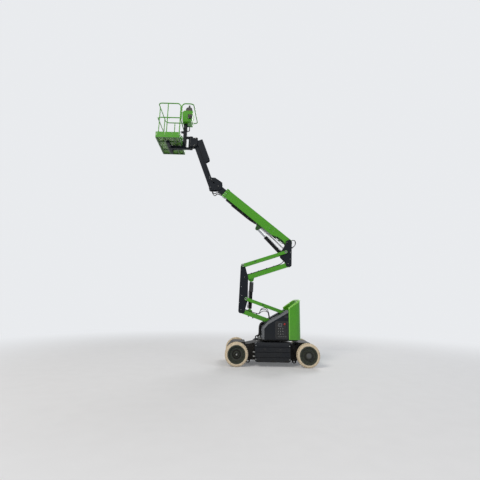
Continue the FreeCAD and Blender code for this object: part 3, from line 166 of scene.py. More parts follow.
def paintedSteel(name, colour, worn, roughness, coat, peel, dust=1.0, sheen=0.5):
    # sprayed two-pack enamel on steel: an orange-peel ripple, a glossy coat, dust low down, worn patches and rounded
    # edges
    made, tree, shader = startMaterial(name)
    place = addNode(tree, "ShaderNodeTexCoord").outputs["Object"]
    patches = addNode(tree, "ShaderNodeTexNoise", {"Vector": place}, Scale=1 / coatFinish["scuffSize"], Detail=6.0,
                      Roughness=0.62)
    ripple = addNode(tree, "ShaderNodeTexNoise", {"Vector": place}, Scale=1 / coatFinish["peelSize"], Detail=2.0)
    fine = addNode(tree, "ShaderNodeTexNoise", {"Vector": place}, Scale=900.0, Detail=2.0)
    tone = addNode(tree, "ShaderNodeMix", {"Factor": patches.outputs["Fac"]}, data_type="RGBA",
                   i6=linearColour(colour), i7=linearColour(worn))
    height = addNode(tree, "ShaderNodeSeparateXYZ", {"Vector": place})
    low = addNode(tree, "ShaderNodeMapRange", {"Value": height.outputs["Z"]}, **{"From_Min": coatFinish["dustHeight"],
                  "From_Max": 0.0, "To_Min": 0.0, "To_Max": 0.55 * dust})
    speckle = addNode(tree, "ShaderNodeMath", {0: patches.outputs["Fac"], 1: fine.outputs["Fac"]}, operation="MULTIPLY")
    amount = addNode(tree, "ShaderNodeMath", {0: low.outputs["Result"], 1: speckle.outputs["Value"]},
                     operation="MULTIPLY", use_clamp=True)
    dusty = addNode(tree, "ShaderNodeMix", {"Factor": amount.outputs["Value"], 6: tone.outputs[2]}, data_type="RGBA",
                    i7=linearColour(coatFinish["dustColour"]))
    tree.links.new(dusty.outputs[2], shader.inputs["Base Color"])
    rough = addNode(tree, "ShaderNodeMapRange", {"Value": patches.outputs["Fac"]}, To_Min=roughness - 0.07,
                    To_Max=roughness + 0.12)
    tree.links.new(rough.outputs["Result"], shader.inputs["Roughness"])
    rounded = addNode(tree, "ShaderNodeBevel", samples=4, Radius=coatFinish["edgeRadius"])
    bump = addNode(tree, "ShaderNodeBump", {"Height": ripple.outputs["Fac"], "Normal": rounded.outputs["Normal"]},
                   Strength=peel, Distance=0.0008)
    tree.links.new(bump.outputs["Normal"], shader.inputs["Normal"])
    shader.inputs["Coat Weight"].default_value = coat
    shader.inputs["Specular IOR Level"].default_value = sheen
    shader.inputs["Coat Roughness"].default_value = 0.12
    return made


greenEnamel = paintedSteel("green_gloss_enamel", "#4C9E1A", "#459418", 0.30, 0.4, 0.12, sheen=0.2)
# painted highlight: a lighter green for the tail cover's rolled edges, where light falls on them
lipHighlightEnamel = paintedSteel("green_enamel_rolled_edge", "#86CC4E", "#78C242", 0.30, 0.5, 0.12, sheen=0.3)
charcoalEnamel = paintedSteel("charcoal_satin_enamel", "#1A1F27", "#151A20", 0.50, 0.04, 0.15, 0.4, 0.14)
blackEnamel = paintedSteel("black_chassis_enamel", "#151618", "#101113", 0.52, 0.03, 0.3, 0.5, 0.12)
greyEnamel = paintedSteel("light_grey_enamel", "#8E949C", "#868C94", 0.4, 0.2, 0.2)
rimEnamel = paintedSteel("rim_green_grey_enamel", "#3A4139", "#31372F", 0.5, 0.04, 0.3, 0.5, 0.15)
# painted highlight: a lighter green-grey for the rims' flanges
rimLipHighlightEnamel = paintedSteel("rim_lip_enamel", "#4A5850", "#3D4842", 0.45, 0.04, 0.3, 0.5, 0.25)
darkGreenEnamel = paintedSteel("floor_frame_enamel", "#2F5A1E", "#2A4C1D", 0.45, 0.1, 0.25)
oliveMesh = paintedSteel("expanded_metal_enamel", "#5C8A34", "#4F7A2E", 0.5, 0.05, 0.2, sheen=0.2)


def withBand(name, base, bandColour, low, high, normal=None, under=0.0):
    # a copy of an enamel with another colour where the distance from the centre plane lies between two values, and,
    # if a normal is given, only below the plane at that distance along it
    made = base.copy()
    made.name = name
    tree = made.node_tree
    shader = tree.nodes["Principled BSDF"]
    full = shader.inputs["Base Color"].links[0].from_socket
    place = addNode(tree, "ShaderNodeTexCoord").outputs["Object"]
    across = addNode(tree, "ShaderNodeSeparateXYZ", {"Vector": place})
    away = addNode(tree, "ShaderNodeMath", {0: across.outputs["Y"]}, operation="ABSOLUTE")
    inside = addNode(tree, "ShaderNodeMath", {0: away.outputs["Value"]}, operation="COMPARE", i1=(low + high) / 2,
                     i2=(high - low) / 2)
    if normal:
        height = addNode(tree, "ShaderNodeVectorMath", {0: place}, operation="DOT_PRODUCT", i1=normal)
        lower = addNode(tree, "ShaderNodeMath", {0: height.outputs["Value"]}, operation="LESS_THAN", i1=under)
        inside = addNode(tree, "ShaderNodeMath", {0: inside.outputs["Value"], 1: lower.outputs["Value"]}, operation="MULTIPLY")
    tone = addNode(tree, "ShaderNodeMix", {"Factor": inside.outputs["Value"], 6: full}, data_type="RGBA",
                   i7=linearColour(bandColour))
    tree.links.new(tone.outputs[2], shader.inputs["Base Color"])
    return made


# the chamfer round the front and the top of each door is painted lighter
boomNormal = (-math.sin(angles["boom"]), 0.0, math.cos(angles["boom"]))
boomRise = float(pins["boomPivot"] @ [boomNormal[0], boomNormal[2]])
# painted shade: the boom's inside and its underside, below a plane 20 mm above the pivot, are coloured dark green
boomShadeEnamel = withBand("green_enamel_dark_underneath", greenEnamel, "#1C4A0C", 0.0, 0.0893, boomNormal, boomRise + 0.02)
doorEnamel = withBand("charcoal_enamel_with_grey_chamfer", charcoalEnamel, "#6C7075", 0.5115, 0.5485)


def bareMetal(name, colour, roughness, grainSize, grain):
    # bare steel, with a fine turned or cast grain
    made, tree, shader = startMaterial(name)
    place = addNode(tree, "ShaderNodeTexCoord").outputs["Object"]
    texture = addNode(tree, "ShaderNodeTexNoise", {"Vector": place}, Scale=1 / grainSize, Detail=4.0)
    tone = addNode(tree, "ShaderNodeMapRange", {"Value": texture.outputs["Fac"]}, To_Min=roughness * 0.75,
                   To_Max=roughness * 1.3)
    tree.links.new(tone.outputs["Result"], shader.inputs["Roughness"])
    bump = addNode(tree, "ShaderNodeBump", {"Height": texture.outputs["Fac"]}, Strength=grain, Distance=0.0005)
    tree.links.new(bump.outputs["Normal"], shader.inputs["Normal"])
    shader.inputs["Base Color"].default_value = linearColour(colour)
    shader.inputs["Metallic"].default_value = 1.0
    return made


chromeRod = bareMetal("hard_chrome_plate", "#A9ACAF", 0.14, 0.004, 0.03)   # ground and plated, near mirror
zincSteel = bareMetal("zinc_plated_steel", "#A9ABA8", 0.38, 0.002, 0.15)   # bolts and pins, dull passivated zinc
darkSteel = bareMetal("phosphated_steel", "#4A4B4C", 0.5, 0.002, 0.2)      # nuts and bolts left dark
castIron = bareMetal("grey_cast_iron", "#5B5C5C", 0.55, 0.003, 0.5)


def rubber(name, colour, dirt, roughness, dirtHeight):
    # moulded solid rubber with a dusty bloom and dirt in random patches
    made, tree, shader = startMaterial(name)
    place = addNode(tree, "ShaderNodeTexCoord").outputs["Object"]
    patches = addNode(tree, "ShaderNodeTexNoise", {"Vector": place}, Scale=14.0, Detail=7.0, Roughness=0.65)
    fine = addNode(tree, "ShaderNodeTexNoise", {"Vector": place}, Scale=420.0, Detail=3.0)
    share = addNode(tree, "ShaderNodeMapRange", {"Value": patches.outputs["Fac"]}, From_Min=0.42, From_Max=0.72,
                    To_Max=dirtHeight)
    tone = addNode(tree, "ShaderNodeMix", {"Factor": share.outputs["Result"]}, data_type="RGBA",
                   i6=linearColour(colour), i7=linearColour(dirt))
    tree.links.new(tone.outputs[2], shader.inputs["Base Color"])
    shader.inputs["Roughness"].default_value = roughness
    bump = addNode(tree, "ShaderNodeBump", {"Height": fine.outputs["Fac"]}, Strength=0.35, Distance=0.0006)
    tree.links.new(bump.outputs["Normal"], shader.inputs["Normal"])
    return made


creamRubber = rubber("cream_non_marking_rubber", "#DACBB0", "#AB9A82", 0.75, 0.7)
hoseRubber = rubber("black_hose_rubber", "#17181A", "#2B2A28", 0.55, 0.3)
greyHose = rubber("grey_braided_hose", "#8E9193", "#5E5F60", 0.5, 0.4)
blackPlastic = rubber("black_moulded_abs", "#141517", "#202124", 0.42, 0.3)
redPlastic = rubber("red_moulded_abs", "#A81E18", "#861814", 0.4, 0.3)
yellowPlastic = rubber("yellow_moulded_abs", "#E2B414", "#B8920F", 0.4, 0.3)

nodeFinishes = {
    greenEnamel: ["tail_cover", "lower_link_1", "upper_link_1", "lower_link_2", "upper_link_2",
                  "boom_collar", "toe_board", "guard_rails", "gate", "console"],
    boomShadeEnamel: ["main_boom"],
    doorEnamel: ["hood_door_left", "hood_door_right"],
    charcoalEnamel: ["hood_left", "hood_right", "mid_upright", "upper_upright",
                     "jib_head", "jib_arm", "jib_level_link", "jib_cover", "jib_tip", "boom_extension",
                     "platform_support", "side_box_left", "side_box_right", "riser_mast"],
    blackEnamel: ["chassis_frame", "front_cover", "rear_cover", "steer_axle", "drive_axle", "knuckle_left",
                  "knuckle_right", "tie_rod", "turntable_deck", "power_unit", "riser_barrel", "boom_barrel",
                  "jib_barrel", "hose_tray"],
    rimEnamel: ["rim_front_left", "rim_front_right", "rim_rear_left", "rim_rear_right"],
    creamRubber: ["tyre_front_left", "tyre_front_right", "tyre_rear_left", "tyre_rear_right"],
    chromeRod: ["riser_rod", "boom_rod", "jib_rod"],
    castIron: ["slew_ring"],
    blackPlastic: ["control_panel", "control_cover"],
}
for finish, names in nodeFinishes.items():
    for nodeName in names:
        if nodeName not in nodes:
            continue
        nodes[nodeName].data.materials.clear()
        nodes[nodeName].data.materials.append(finish)
print("materials on", len(nodes), "nodes")


# Surfaces, each a pair of points and faces in metres

def gridFaces(rows, columns, wrapRows=False, wrapColumns=False):
    # four-cornered faces over a lattice of rows x columns points, stored row by row
    r, c = np.meshgrid(np.arange(rows if wrapRows else rows - 1), np.arange(columns if wrapColumns else columns - 1),
                       indexing="ij")
    r, c = r.ravel(), c.ravel()
    below, beside = (r + 1) % rows, (c + 1) % columns
    return np.stack([r * columns + c, r * columns + beside, below * columns + beside, below * columns + c], axis=1)


def revolved(profile, steps, ring=False, phase=0.0):
    # turned about the Y axis from rows of (radius, y); open ends get one flat face each, a ring closes on itself
    profile = np.asarray(profile, float)
    around = np.arange(steps) / steps * turnFull + phase
    radius, height = profile[:, :1], np.repeat(profile[:, 1:], steps, axis=1)
    points = np.stack([radius * np.cos(around), height, radius * np.sin(around)], axis=-1).reshape(-1, 3)
    faces = gridFaces(len(profile), steps, ring, True).tolist()
    if not ring:
        faces += [list(range(steps)), list(range((len(profile) - 1) * steps, len(profile) * steps))]
    return points, faces


def swept(path, section, closedEnds=True):
    # a section of (across, up) points carried along a path; a path in one plane keeps the section upright to it
    path, section = np.asarray(path, float), np.asarray(section, float)
    along = np.gradient(path, axis=0)
    along /= np.linalg.norm(along, axis=1, keepdims=True)
    spread = np.linalg.svd(path - path.mean(axis=0))[2]
    across = np.cross(along, np.cross(spread[2], along))
    length = np.linalg.norm(across, axis=1, keepdims=True)
    across = across / np.maximum(length, 1e-9)
    up = np.cross(along, across)
    points = path[:, None] + across[:, None] * section[None, :, :1] + up[:, None] * section[None, :, 1:]
    rows, columns = len(path), len(section)
    faces = gridFaces(rows, columns, False, True).tolist()
    if closedEnds:
        faces += [list(range(columns)), list(range((rows - 1) * columns, rows * columns))]
    return points.reshape(-1, 3), faces


def circle(radius, steps=12, squash=1.0):
    around = np.arange(steps) / steps * turnFull
    return np.stack([radius * np.cos(around), radius * squash * np.sin(around)], axis=1)


def block(low, high, bevel):
    # a box with flat bevels on its twelve edges and eight corners
    ends = np.array([low, high], float)
    corners = list(itertools.product((0, 1), repeat=3))
    index, points, faces = {}, [], []
    for corner, axis in itertools.product(corners, range(3)):
        inset = np.full(3, bevel)
        inset[axis] = 0
        pick = np.array(corner)
        index[corner, axis] = len(points)
        points.append(ends[pick, range(3)] + inset * (1 - 2 * pick))
    for axis in range(3):
        b, c = [k for k in range(3) if k != axis]

        def at(side, first, second):
            place = [0, 0, 0]
            place[axis], place[b], place[c] = side, first, second
            return tuple(place)
        faces += [[index[at(side, *pair), axis] for pair in ((0, 0), (0, 1), (1, 1), (1, 0))] for side in (0, 1)]
        faces += [[index[at(0, *pair), b], index[at(1, *pair), b], index[at(1, *pair), c], index[at(0, *pair), c]]
                  for pair in itertools.product((0, 1), repeat=2)]
    faces += [[index[corner, axis] for axis in range(3)] for corner in corners]
    return np.array(points), faces


def rounded(points, radius, steps=5):
    # a closed outline of (x, z) corners with each corner rounded
    points = np.asarray(points, float)
    out = []
    for i, here in enumerate(points):
        before, after = points[i - 1] - here, points[(i + 1) % len(points)] - here
        before, after = before / np.linalg.norm(before), after / np.linalg.norm(after)
        half = math.acos(np.clip(before @ after, -1, 1)) / 2
        middle = (before + after) / np.linalg.norm(before + after)
        centre = here + middle * radius / math.sin(half)
        reach = radius / math.tan(half)
        first, last = here + before * reach - centre, here + after * reach - centre
        a0, a1 = math.atan2(first[1], first[0]), math.atan2(last[1], last[0])
        sweep = (a1 - a0 + math.pi) % turnFull - math.pi
        angle = a0 + sweep * np.linspace(0, 1, steps)
        out.append(centre + radius * np.stack([np.cos(angle), np.sin(angle)], axis=1))
    return np.concatenate(out)


def plate(outline, y0, y1, bevel=0.001):
    # a flat plate from an outline of (x, z), its two rims bevelled
    outline = np.asarray(outline, float)
    middle = outline.mean(axis=0)
    reach = np.abs(outline - middle).max()
    small = middle + (outline - middle) * (1 - bevel / reach)
    rows = [(small, y0), (outline, y0 + bevel), (outline, y1 - bevel), (small, y1)]
    points = np.concatenate([np.stack([o[:, 0], np.full(len(o), y), o[:, 1]], axis=1) for o, y in rows])
    count = len(outline)
    faces = gridFaces(4, count, False, True).tolist()
    return points, faces + [list(range(count)), list(range(3 * count, 4 * count))]


def frameRing(outer, inner, y0, y1):
    # a flat ring between two outlines with the same number of points
    rows = [(outer, y0), (outer, y1), (inner, y1), (inner, y0)]
    points = np.concatenate([np.stack([o[:, 0], np.full(len(o), y), o[:, 1]], axis=1) for o, y in rows])
    return points, gridFaces(4, len(outer), True, True).tolist()


def joined(shapes):
    points, faces, count = [], [], 0
    for shapePoints, shapeFaces in shapes:
        points.append(np.asarray(shapePoints, float))
        faces += [[i + count for i in face] for face in shapeFaces]
        count += len(shapePoints)
    return np.concatenate(points), faces


def axisTurn(axis, angle):
    # rotation matrix about "x", "y" or "z" by an angle in radians
    c, s = math.cos(angle), math.sin(angle)
    return np.array({"x": [[1, 0, 0], [0, c, -s], [0, s, c]], "y": [[c, 0, s], [0, 1, 0], [-s, 0, c]],
                     "z": [[c, -s, 0], [s, c, 0], [0, 0, 1]]}[axis])


def moved(shape, shift=(0, 0, 0), turn=None):
    points = shape[0] if turn is None else shape[0] @ turn.T
    return points + np.asarray(shift, float), shape[1]


def scattered(shape, places, turn=None):
    return joined([moved(shape, place, turn) for place in places])


def mirrored(shape):
    # the shape with its twin across the centre plane
    return joined([shape, (shape[0] * [1, -1, 1], shape[1])])


def onLink(shape, pinName, angle):
    # a shape built as (along, y, above) from a pin, laid on its link
    return placeOn(pinName, angle, shape[0]), shape[1]


pieceCount = {"pieces": 0, "faces": 0}


def addPiece(name, shape, finish, body, sharp=32, replaced=()):
    mesh = bpy.data.meshes.new(name)
    mesh.from_pydata(shape[0].tolist(), [], shape[1])
    work = bmesh.new()
    work.from_mesh(mesh)
    bmesh.ops.recalc_face_normals(work, faces=work.faces)
    work.to_mesh(mesh)
    work.free()
    mesh.polygons.foreach_set("use_smooth", [True] * len(mesh.polygons))
    mesh.set_sharp_from_angle(angle=math.radians(sharp))
    mesh.materials.append(finish)
    made = bpy.data.objects.new(name, mesh)
    sceneObjects.link(made)
    if body:
        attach(made, body)
    if replaced:
        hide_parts(*replaced)
    pieceCount["pieces"] += 1
    pieceCount["faces"] += len(mesh.polygons)
    return made


def routePoints(controls, count):
    # points along the smooth NURBS curve that these control points make, equally far apart
    curve = bpy.data.curves.new("route", "CURVE")
    curve.dimensions = "3D"
    curve.resolution_u = 12
    fillSpline(curve, controls)
    maker = bpy.data.objects.new("route", curve)
    sceneObjects.link(maker)
    mesh = bpy.data.meshes.new_from_object(maker)
    fine = np.empty(len(mesh.vertices) * 3)
    mesh.vertices.foreach_get("co", fine)
    fine = fine.reshape(-1, 3)
    bpy.data.objects.remove(maker)
    bpy.data.curves.remove(curve)
    bpy.data.meshes.remove(mesh)
    lengths = np.concatenate([[0], np.cumsum(np.linalg.norm(np.diff(fine, axis=0), axis=1))])
    at = np.linspace(0, lengths[-1], count)
    return np.stack([np.interp(at, lengths, fine[:, k]) for k in range(3)], axis=1)


def fillSpline(curve, controls):
    spline = curve.splines.new("NURBS")
    spline.points.add(len(controls) - 1)
    for point, place in zip(spline.points, controls):
        point.co = (*[float(v) for v in place], 1.0)
    spline.order_u = 3
    spline.use_endpoint_u = True


def tubeAlong(path, radius, steps=12):
    # a round tube whose frames are carried along the path without twist
    path = np.asarray(path, float)
    along = np.gradient(path, axis=0)
    along /= np.linalg.norm(along, axis=1, keepdims=True)
    side = np.cross(along[0], [0.31, 0.52, 0.79])
    rows = []
    for place, heading in zip(path, along):
        side = side - heading * (side @ heading)
        side /= np.linalg.norm(side)
        other = np.cross(heading, side)
        ring = circle(radius, steps)
        rows.append(place + ring[:, :1] * side + ring[:, 1:] * other)
    faces = gridFaces(len(path), steps, False, True).tolist()
    faces += [list(range(steps)), list(range((len(path) - 1) * steps, len(path) * steps))]
    return np.concatenate(rows), faces



# Fasteners, built with their axis along +Y and their seat at y = 0

def hexBolt(size, washer=True):
    # size is the thread's diameter; head and washer follow the metric standard
    head = revolved([(0.9 * size, 0), (0.9 * size, 0.52 * size), (0.76 * size, 0.65 * size)], 6)
    if not washer:
        return head
    ring = revolved([(1.08 * size, 0), (1.08 * size, 0.16 * size), (0.98 * size, 0.2 * size)], 20)
    return joined([ring, moved(head, (0, 0.18 * size, 0))])


def hexNut(size):
    # a nut with its stud end showing
    nut = revolved([(0.9 * size, 0), (0.9 * size, 0.7 * size), (0.76 * size, 0.82 * size)], 6)
    stud = revolved([(0.48 * size, 0.7 * size), (0.48 * size, 1.0 * size), (0.38 * size, 1.1 * size)], 14)
    ring = revolved([(1.12 * size, 0), (1.12 * size, 0.14 * size), (1.02 * size, 0.18 * size)], 20)
    return joined([ring, moved(nut, (0, 0.16 * size, 0)), stud])


def bothFaces(shape, places):
    # a fastener at (x, y, z) places on the left side, pointing out, and its twins on the right side
    return mirrored(scattered(shape, places))


def greaseNipple():
    return revolved([(0.0045, 0), (0.0045, 0.003), (0.003, 0.005), (0.0032, 0.009), (0.0014, 0.0115)], 10)


# Wheels

wheels = {
    "places": {"front_left": (0.925, 1), "front_right": (0.925, -1), "rear_left": (-0.925, 1), "rear_right": (-0.925, -1)},
    "middle": (0.62, 0.3),   # out from the centre plane, and above the floor
    "lugs": 36,
    "stepsPerLug": 14,
    "grooveSteps": 5,
    "grooveDepth": 0.011,
    "grooveStart": 0.016,    # metres from the tyre's middle, where the lug's groove begins
    "shoulderEnd": 0.268,    # radius where a groove has run out on the sidewall
    # half of the section from the bead outwards: radius and distance from the tyre's middle
    "section": [(0.2285, 0.070), (0.2300, 0.0835), (0.2360, 0.0885), (0.2480, 0.0895), (0.2580, 0.0885),
                (0.2620, 0.0865), (0.2680, 0.0855), (0.2760, 0.0835), (0.2840, 0.0790), (0.2905, 0.0725),
                (0.2958, 0.0640), (0.2990, 0.0540), (0.2999, 0.0430), (0.2999, 0.0300), (0.2999, 0.0230),
                (0.2999, 0.0160), (0.2999, 0.0070)],
}


def treadedTyre(values):
    half = np.array(values["section"])
    profile = np.concatenate([half * [1, -1], half[::-1]])
    steps = values["lugs"] * values["stepsPerLug"]
    step = np.arange(steps)
    away = np.abs(profile[:, 1])
    across = np.clip((away - values["grooveStart"]) / 0.006, 0, 1)
    down = np.clip((profile[:, 0] - values["shoulderEnd"]) / 0.02, 0, 1)
    depth = (values["grooveDepth"] * across * down)[:, None]
    shift = np.where(profile[:, 1] > 0, 0, values["stepsPerLug"] // 2)[:, None]
    open_ = ((step[None] + shift) % values["stepsPerLug"]) < values["grooveSteps"]
    radius = profile[:, :1] - depth * open_
    slant = 0.9 * away[:, None]      # a lug leans round the tyre as it runs outwards
    around = step[None] / steps * turnFull + slant
    points = np.stack([radius * np.cos(around), np.repeat(profile[:, 1:], steps, axis=1), radius * np.sin(around)], axis=-1)
    return points.reshape(-1, 3), gridFaces(len(profile), steps, True, True).tolist()


def onCircle(radius, count, y, phase=0.0):
    angle = np.arange(count) / count * turnFull + phase
    return np.stack([radius * np.cos(angle), np.full(count, y), radius * np.sin(angle)], axis=1)


wheelParts = {
    "nutCircle": 0.145,
    "nuts": 9,
    "nutSize": 0.014,
    "lip": [(0.2295, 0.0800), (0.2295, 0.0865), (0.2270, 0.0890), (0.2225, 0.0880), (0.2205, 0.0835), (0.2200, 0.0800)],
    # seats measured out from the tyre's middle
    "front": {"disc": 0.0202, "hub": 0.0542, "ring": (0.070, 0.118, 0.0200),
              "cap": [(0.060, -0.004), (0.060, 0.004), (0.054, 0.010), (0.034, 0.012), (0.031, 0.030), (0.026, 0.0335),
                      (0.010, 0.0345)]},
    "rear": {"disc": 0.0402, "hub": 0.0922, "ring": (0.070, 0.104, 0.0920),
             "cap": [(0.058, 0.0055), (0.058, 0.0075), (0.054, 0.0092), (0.046, 0.0098), (0.012, 0.0098)]},
}
tyreShape = treadedTyre(wheels)
for wheelName, (wheelX, side) in wheels["places"].items():
    middle = (wheelX, side * wheels["middle"][0], wheels["middle"][1])
    turnOut = None if side > 0 else axisTurn("z", math.pi)
    body = "wheel_" + wheelName
    addPiece("tyre_tread_" + wheelName, moved(tyreShape, middle, turnOut), creamRubber, body, 40,
             ["tyre_" + wheelName])
    seat = wheelParts[wheelName.split("_")[0]]
    # each rim's flange takes the painted highlight colour
    lip = revolved(wheelParts["lip"], 96, True)
    lips = joined([lip, (lip[0] * [1, -1, 1], lip[1])])
    addPiece("rim_lips_" + wheelName, moved(lips, middle, turnOut), rimLipHighlightEnamel, body)
    nuts = scattered(hexNut(wheelParts["nutSize"]), onCircle(wheelParts["nutCircle"], wheelParts["nuts"], seat["disc"]))
    addPiece("wheel_nuts_" + wheelName, moved(nuts, middle, turnOut), darkSteel, body)
    cap = moved(revolved(seat["cap"], 48), (0, seat["hub"], 0))
    addPiece("hub_cap_" + wheelName, moved(cap, middle, turnOut), castIron if "rear" in wheelName else blackEnamel, body)
    # painted shade: a thin black ring laid on each hub
    shadeRing = seat["ring"]
    ring = revolved([(shadeRing[0], shadeRing[2]), (shadeRing[1], shadeRing[2]), (shadeRing[1], shadeRing[2] + 0.0015), (shadeRing[0], shadeRing[2] + 0.0015)], 60, True)
    addPiece("hub_ring_" + wheelName, moved(ring, middle, turnOut), blackEnamel, body)
    if wheelName.startswith("rear"):
        bolts = scattered(hexBolt(0.008, False), onCircle(0.091, 10, 0.0922))
        addPiece("hub_bolts_" + wheelName, moved(bolts, middle, turnOut), darkSteel, body)
    else:
        pin = joined([revolved([(0.019, 0.086), (0.019, 0.094), (0.015, 0.0975)], 6),
                      moved(revolved([(0.0045, -0.034), (0.0045, 0.034)], 12), (-0.012, 0.0905, 0.012), axisTurn("x", 1.5) @ axisTurn("y", 0.5))])
        addPiece("hub_nut_" + wheelName, moved(pin, middle, turnOut), zincSteel, body)
print("wheels", pieceCount)


# Chassis

chassisParts = {
    "boxX": (-0.468, 0.446),
    "boxFace": 0.62,
    "boltX": (-0.448, 0.426),
    "boltZ": (0.185, 0.515),
    "lipZ": (0.227, 0.241, 0.352, 0.366, 0.477, 0.491),
    "couplings": (0.25, 0.35),
    "ringTeeth": 84,
    "ringZ": (0.598, 0.624),
}


def slewTeeth(values):
    # outer teeth of the slewing ring, a trapezoid for each tooth
    count = values["ringTeeth"] * 8
    step = np.arange(count)
    radius = np.array([0.2905, 0.2905, 0.294, 0.3, 0.3, 0.3, 0.294, 0.2905])[step % 8]
    angle = step / count * turnFull
    rows = []
    for inset, z in ((0.002, values["ringZ"][0]), (0, values["ringZ"][0] + 0.002), (0, values["ringZ"][1] - 0.002),
                     (0.002, values["ringZ"][1])):
        rows.append(np.stack([(radius - inset) * np.cos(angle), (radius - inset) * np.sin(angle), np.full(count, z)], axis=1))
    bore = [np.stack([0.2895 * np.cos(angle), 0.2895 * np.sin(angle), np.full(count, z)], axis=1)
            for z in values["ringZ"][::-1]]
    return np.concatenate(rows + bore), gridFaces(6, count, True, True).tolist()


addPiece("slew_ring_teeth", slewTeeth(chassisParts), castIron, "chassis")
boxBolts = [(x, chassisParts["boxFace"] - 0.0002, z) for x in chassisParts["boltX"] for z in chassisParts["boltZ"]]
addPiece("side_box_bolts", bothFaces(hexBolt(0.01), boxBolts), zincSteel, "chassis")

# a narrow folded lip stands along both edges of each groove of the side boxes
lips = [block((chassisParts["boxX"][0] + 0.004, chassisParts["boxFace"] - 0.004, z - 0.0015),
              (chassisParts["boxX"][1] - 0.004, chassisParts["boxFace"] + 0.0018, z + 0.0015), 0.0006)
        for z in chassisParts["lipZ"]]
addPiece("side_box_lips", mirrored(joined(lips)), charcoalEnamel, "chassis")

# hinges along the lower edge of each box door, and quarter-turn latches near the top
hinge = joined([moved(revolved([(0.0045, -0.03), (0.006, -0.028), (0.006, 0.028), (0.0045, 0.03)], 16), (0, 0, 0),
                      axisTurn("z", math.pi / 2)),
                block((-0.028, -0.006, 0.0), (0.028, -0.003, 0.026), 0.0008)])
addPiece("side_box_hinges", mirrored(scattered(hinge, [(x, 0.6265, 0.131) for x in (-0.36, -0.01, 0.34)])), blackEnamel, "chassis")
latch = joined([plate(rounded([(-0.032, -0.018), (0.032, -0.018), (0.032, 0.018), (-0.032, 0.018)], 0.008), 0, 0.003),
                plate(rounded([(-0.02, -0.007), (0.022, -0.007), (0.022, 0.007), (-0.02, 0.007)], 0.0065), 0.003, 0.009),
                moved(revolved([(0.009, 0), (0.009, 0.011), (0.007, 0.0125)], 24), (-0.012, 0, 0))])
addPiece("side_box_latches", mirrored(scattered(latch, [(x, 0.6201, 0.432) for x in (-0.21, 0.19)])), blackPlastic, "chassis")

# hydraulic couplings on the front face of each side box
coupling = joined([revolved([(0.017, 0), (0.017, 0.008), (0.013, 0.010), (0.013, 0.020), (0.0155, 0.021),
                             (0.0155, 0.036), (0.012, 0.039), (0.010, 0.052)], 24),
                   moved(revolved([(0.0185, 0), (0.0185, 0.012), (0.0165, 0.014)], 6), (0, 0.022, 0))])
forward = axisTurn("z", -math.pi / 2)
addPiece("box_couplings", mirrored(scattered(coupling, [(0.4465, 0.55, z) for z in chassisParts["couplings"]], forward)),
         zincSteel, "chassis")

# bolts that hold both end covers, the axle brackets and the frame's top plate
coverBolts = [(x, 0.3252, z) for x in (0.74, 1.09) for z in (0.44, 0.52)] + \
             [(x, 0.3252, z) for x in (-0.73, -1.08) for z in (0.44, 0.53)] + \
             [(x, 0.3252, z) for x in (0.62, -0.60, 0.50, -0.50) for z in (0.165, 0.47)]
addPiece("frame_bolts", bothFaces(hexBolt(0.012), coverBolts), darkSteel, "chassis")
topBolts = [(0.36 * math.cos(a), 0.36 * math.sin(a), 0.5702) for a in np.arange(20) / 20 * turnFull + 0.08
            if abs(0.36 * math.sin(a)) < 0.31]
addPiece("ring_bolts", scattered(hexBolt(0.016), topBolts, axisTurn("x", math.pi / 2)), zincSteel, "chassis")

# lashing eyes' doublers, and the cover seams between frame and end covers
seams = [block((x - 0.012, 0.3245, 0.20), (x + 0.012, 0.3275, z), 0.001) for x, z in ((0.70, 0.50), (-0.69, 0.51))]
addPiece("frame_seams", mirrored(joined(seams)), blackEnamel, "chassis")
doubler = moved(revolved([(0.034, 0), (0.034, 0.0035), (0.0315, 0.005), (0.0225, 0.005), (0.021, 0.0035), (0.021, 0)], 40,
                         True), (0, 0, 0))
addPiece("lashing_eye_doublers", bothFaces(doubler, [(x, 0.3101, 0.095) for x in (-0.61, 0.62)]), darkSteel, "chassis")


def weldBead(path, radius=0.004, ripple=0.005):
    # a fillet weld: a rounded bead with a ripple for each pool of the weld
    path = np.asarray(path, float)
    lengths = np.concatenate([[0], np.cumsum(np.linalg.norm(np.diff(path, axis=0), axis=1))])
    count = max(int(lengths[-1] / ripple * 3), 6)
    at = np.linspace(0, lengths[-1], count)
    fine = np.stack([np.interp(at, lengths, path[:, k]) for k in range(3)], axis=1)
    points, faces = swept(fine, circle(radius, 8))
    swell = 1 + 0.22 * np.cos(at / ripple * turnFull)
    points = points.reshape(count, 8, 3)
    points = fine[:, None] + (points - fine[:, None]) * swell[:, None, None]
    return points.reshape(-1, 3), faces


ringWeld = weldBead([(-0.925 + 0.102 * math.cos(a), 0.3645, 0.3 + 0.102 * math.sin(a)) for a in np.linspace(0, turnFull, 60)])
driveBolts = scattered(hexBolt(0.010), onCircle(0.088, 12, 0.0) + [-0.925, 0.4552, 0.3])
addPiece("drive_flange_bolts", mirrored(driveBolts), darkSteel, "chassis")
addPiece("drive_flange_welds", mirrored(ringWeld), blackEnamel, "chassis", 60)
print("chassis", pieceCount)


# Turntable

turntableParts = {
    "panelX": (-0.419, -0.097),      # opening in the left door
    "panelZ": (0.699, 1.117),
    "panelFace": 0.55,
    "doorBolts": [(0.205, 0.715), (-0.39, 1.34)],
    "tailLip": 0.026,
    "tailCorner": 0.155,
}


def panelOutline(inset):
    (x0, x1), (z0, z1) = turntableParts["panelX"], turntableParts["panelZ"]
    return rounded([(x0 + inset, z0 + inset), (x1 - inset, z0 + inset), (x1 - inset, z1 - inset), (x0 + inset, z1 - inset)],
                   0.034 - inset * 0.6, 7)


face = turntableParts["panelFace"]
addPiece("panel_frame", frameRing(panelOutline(-0.014), panelOutline(0.022), face - 0.016, face + 0.0035), blackPlastic,
         "hood_door_left")
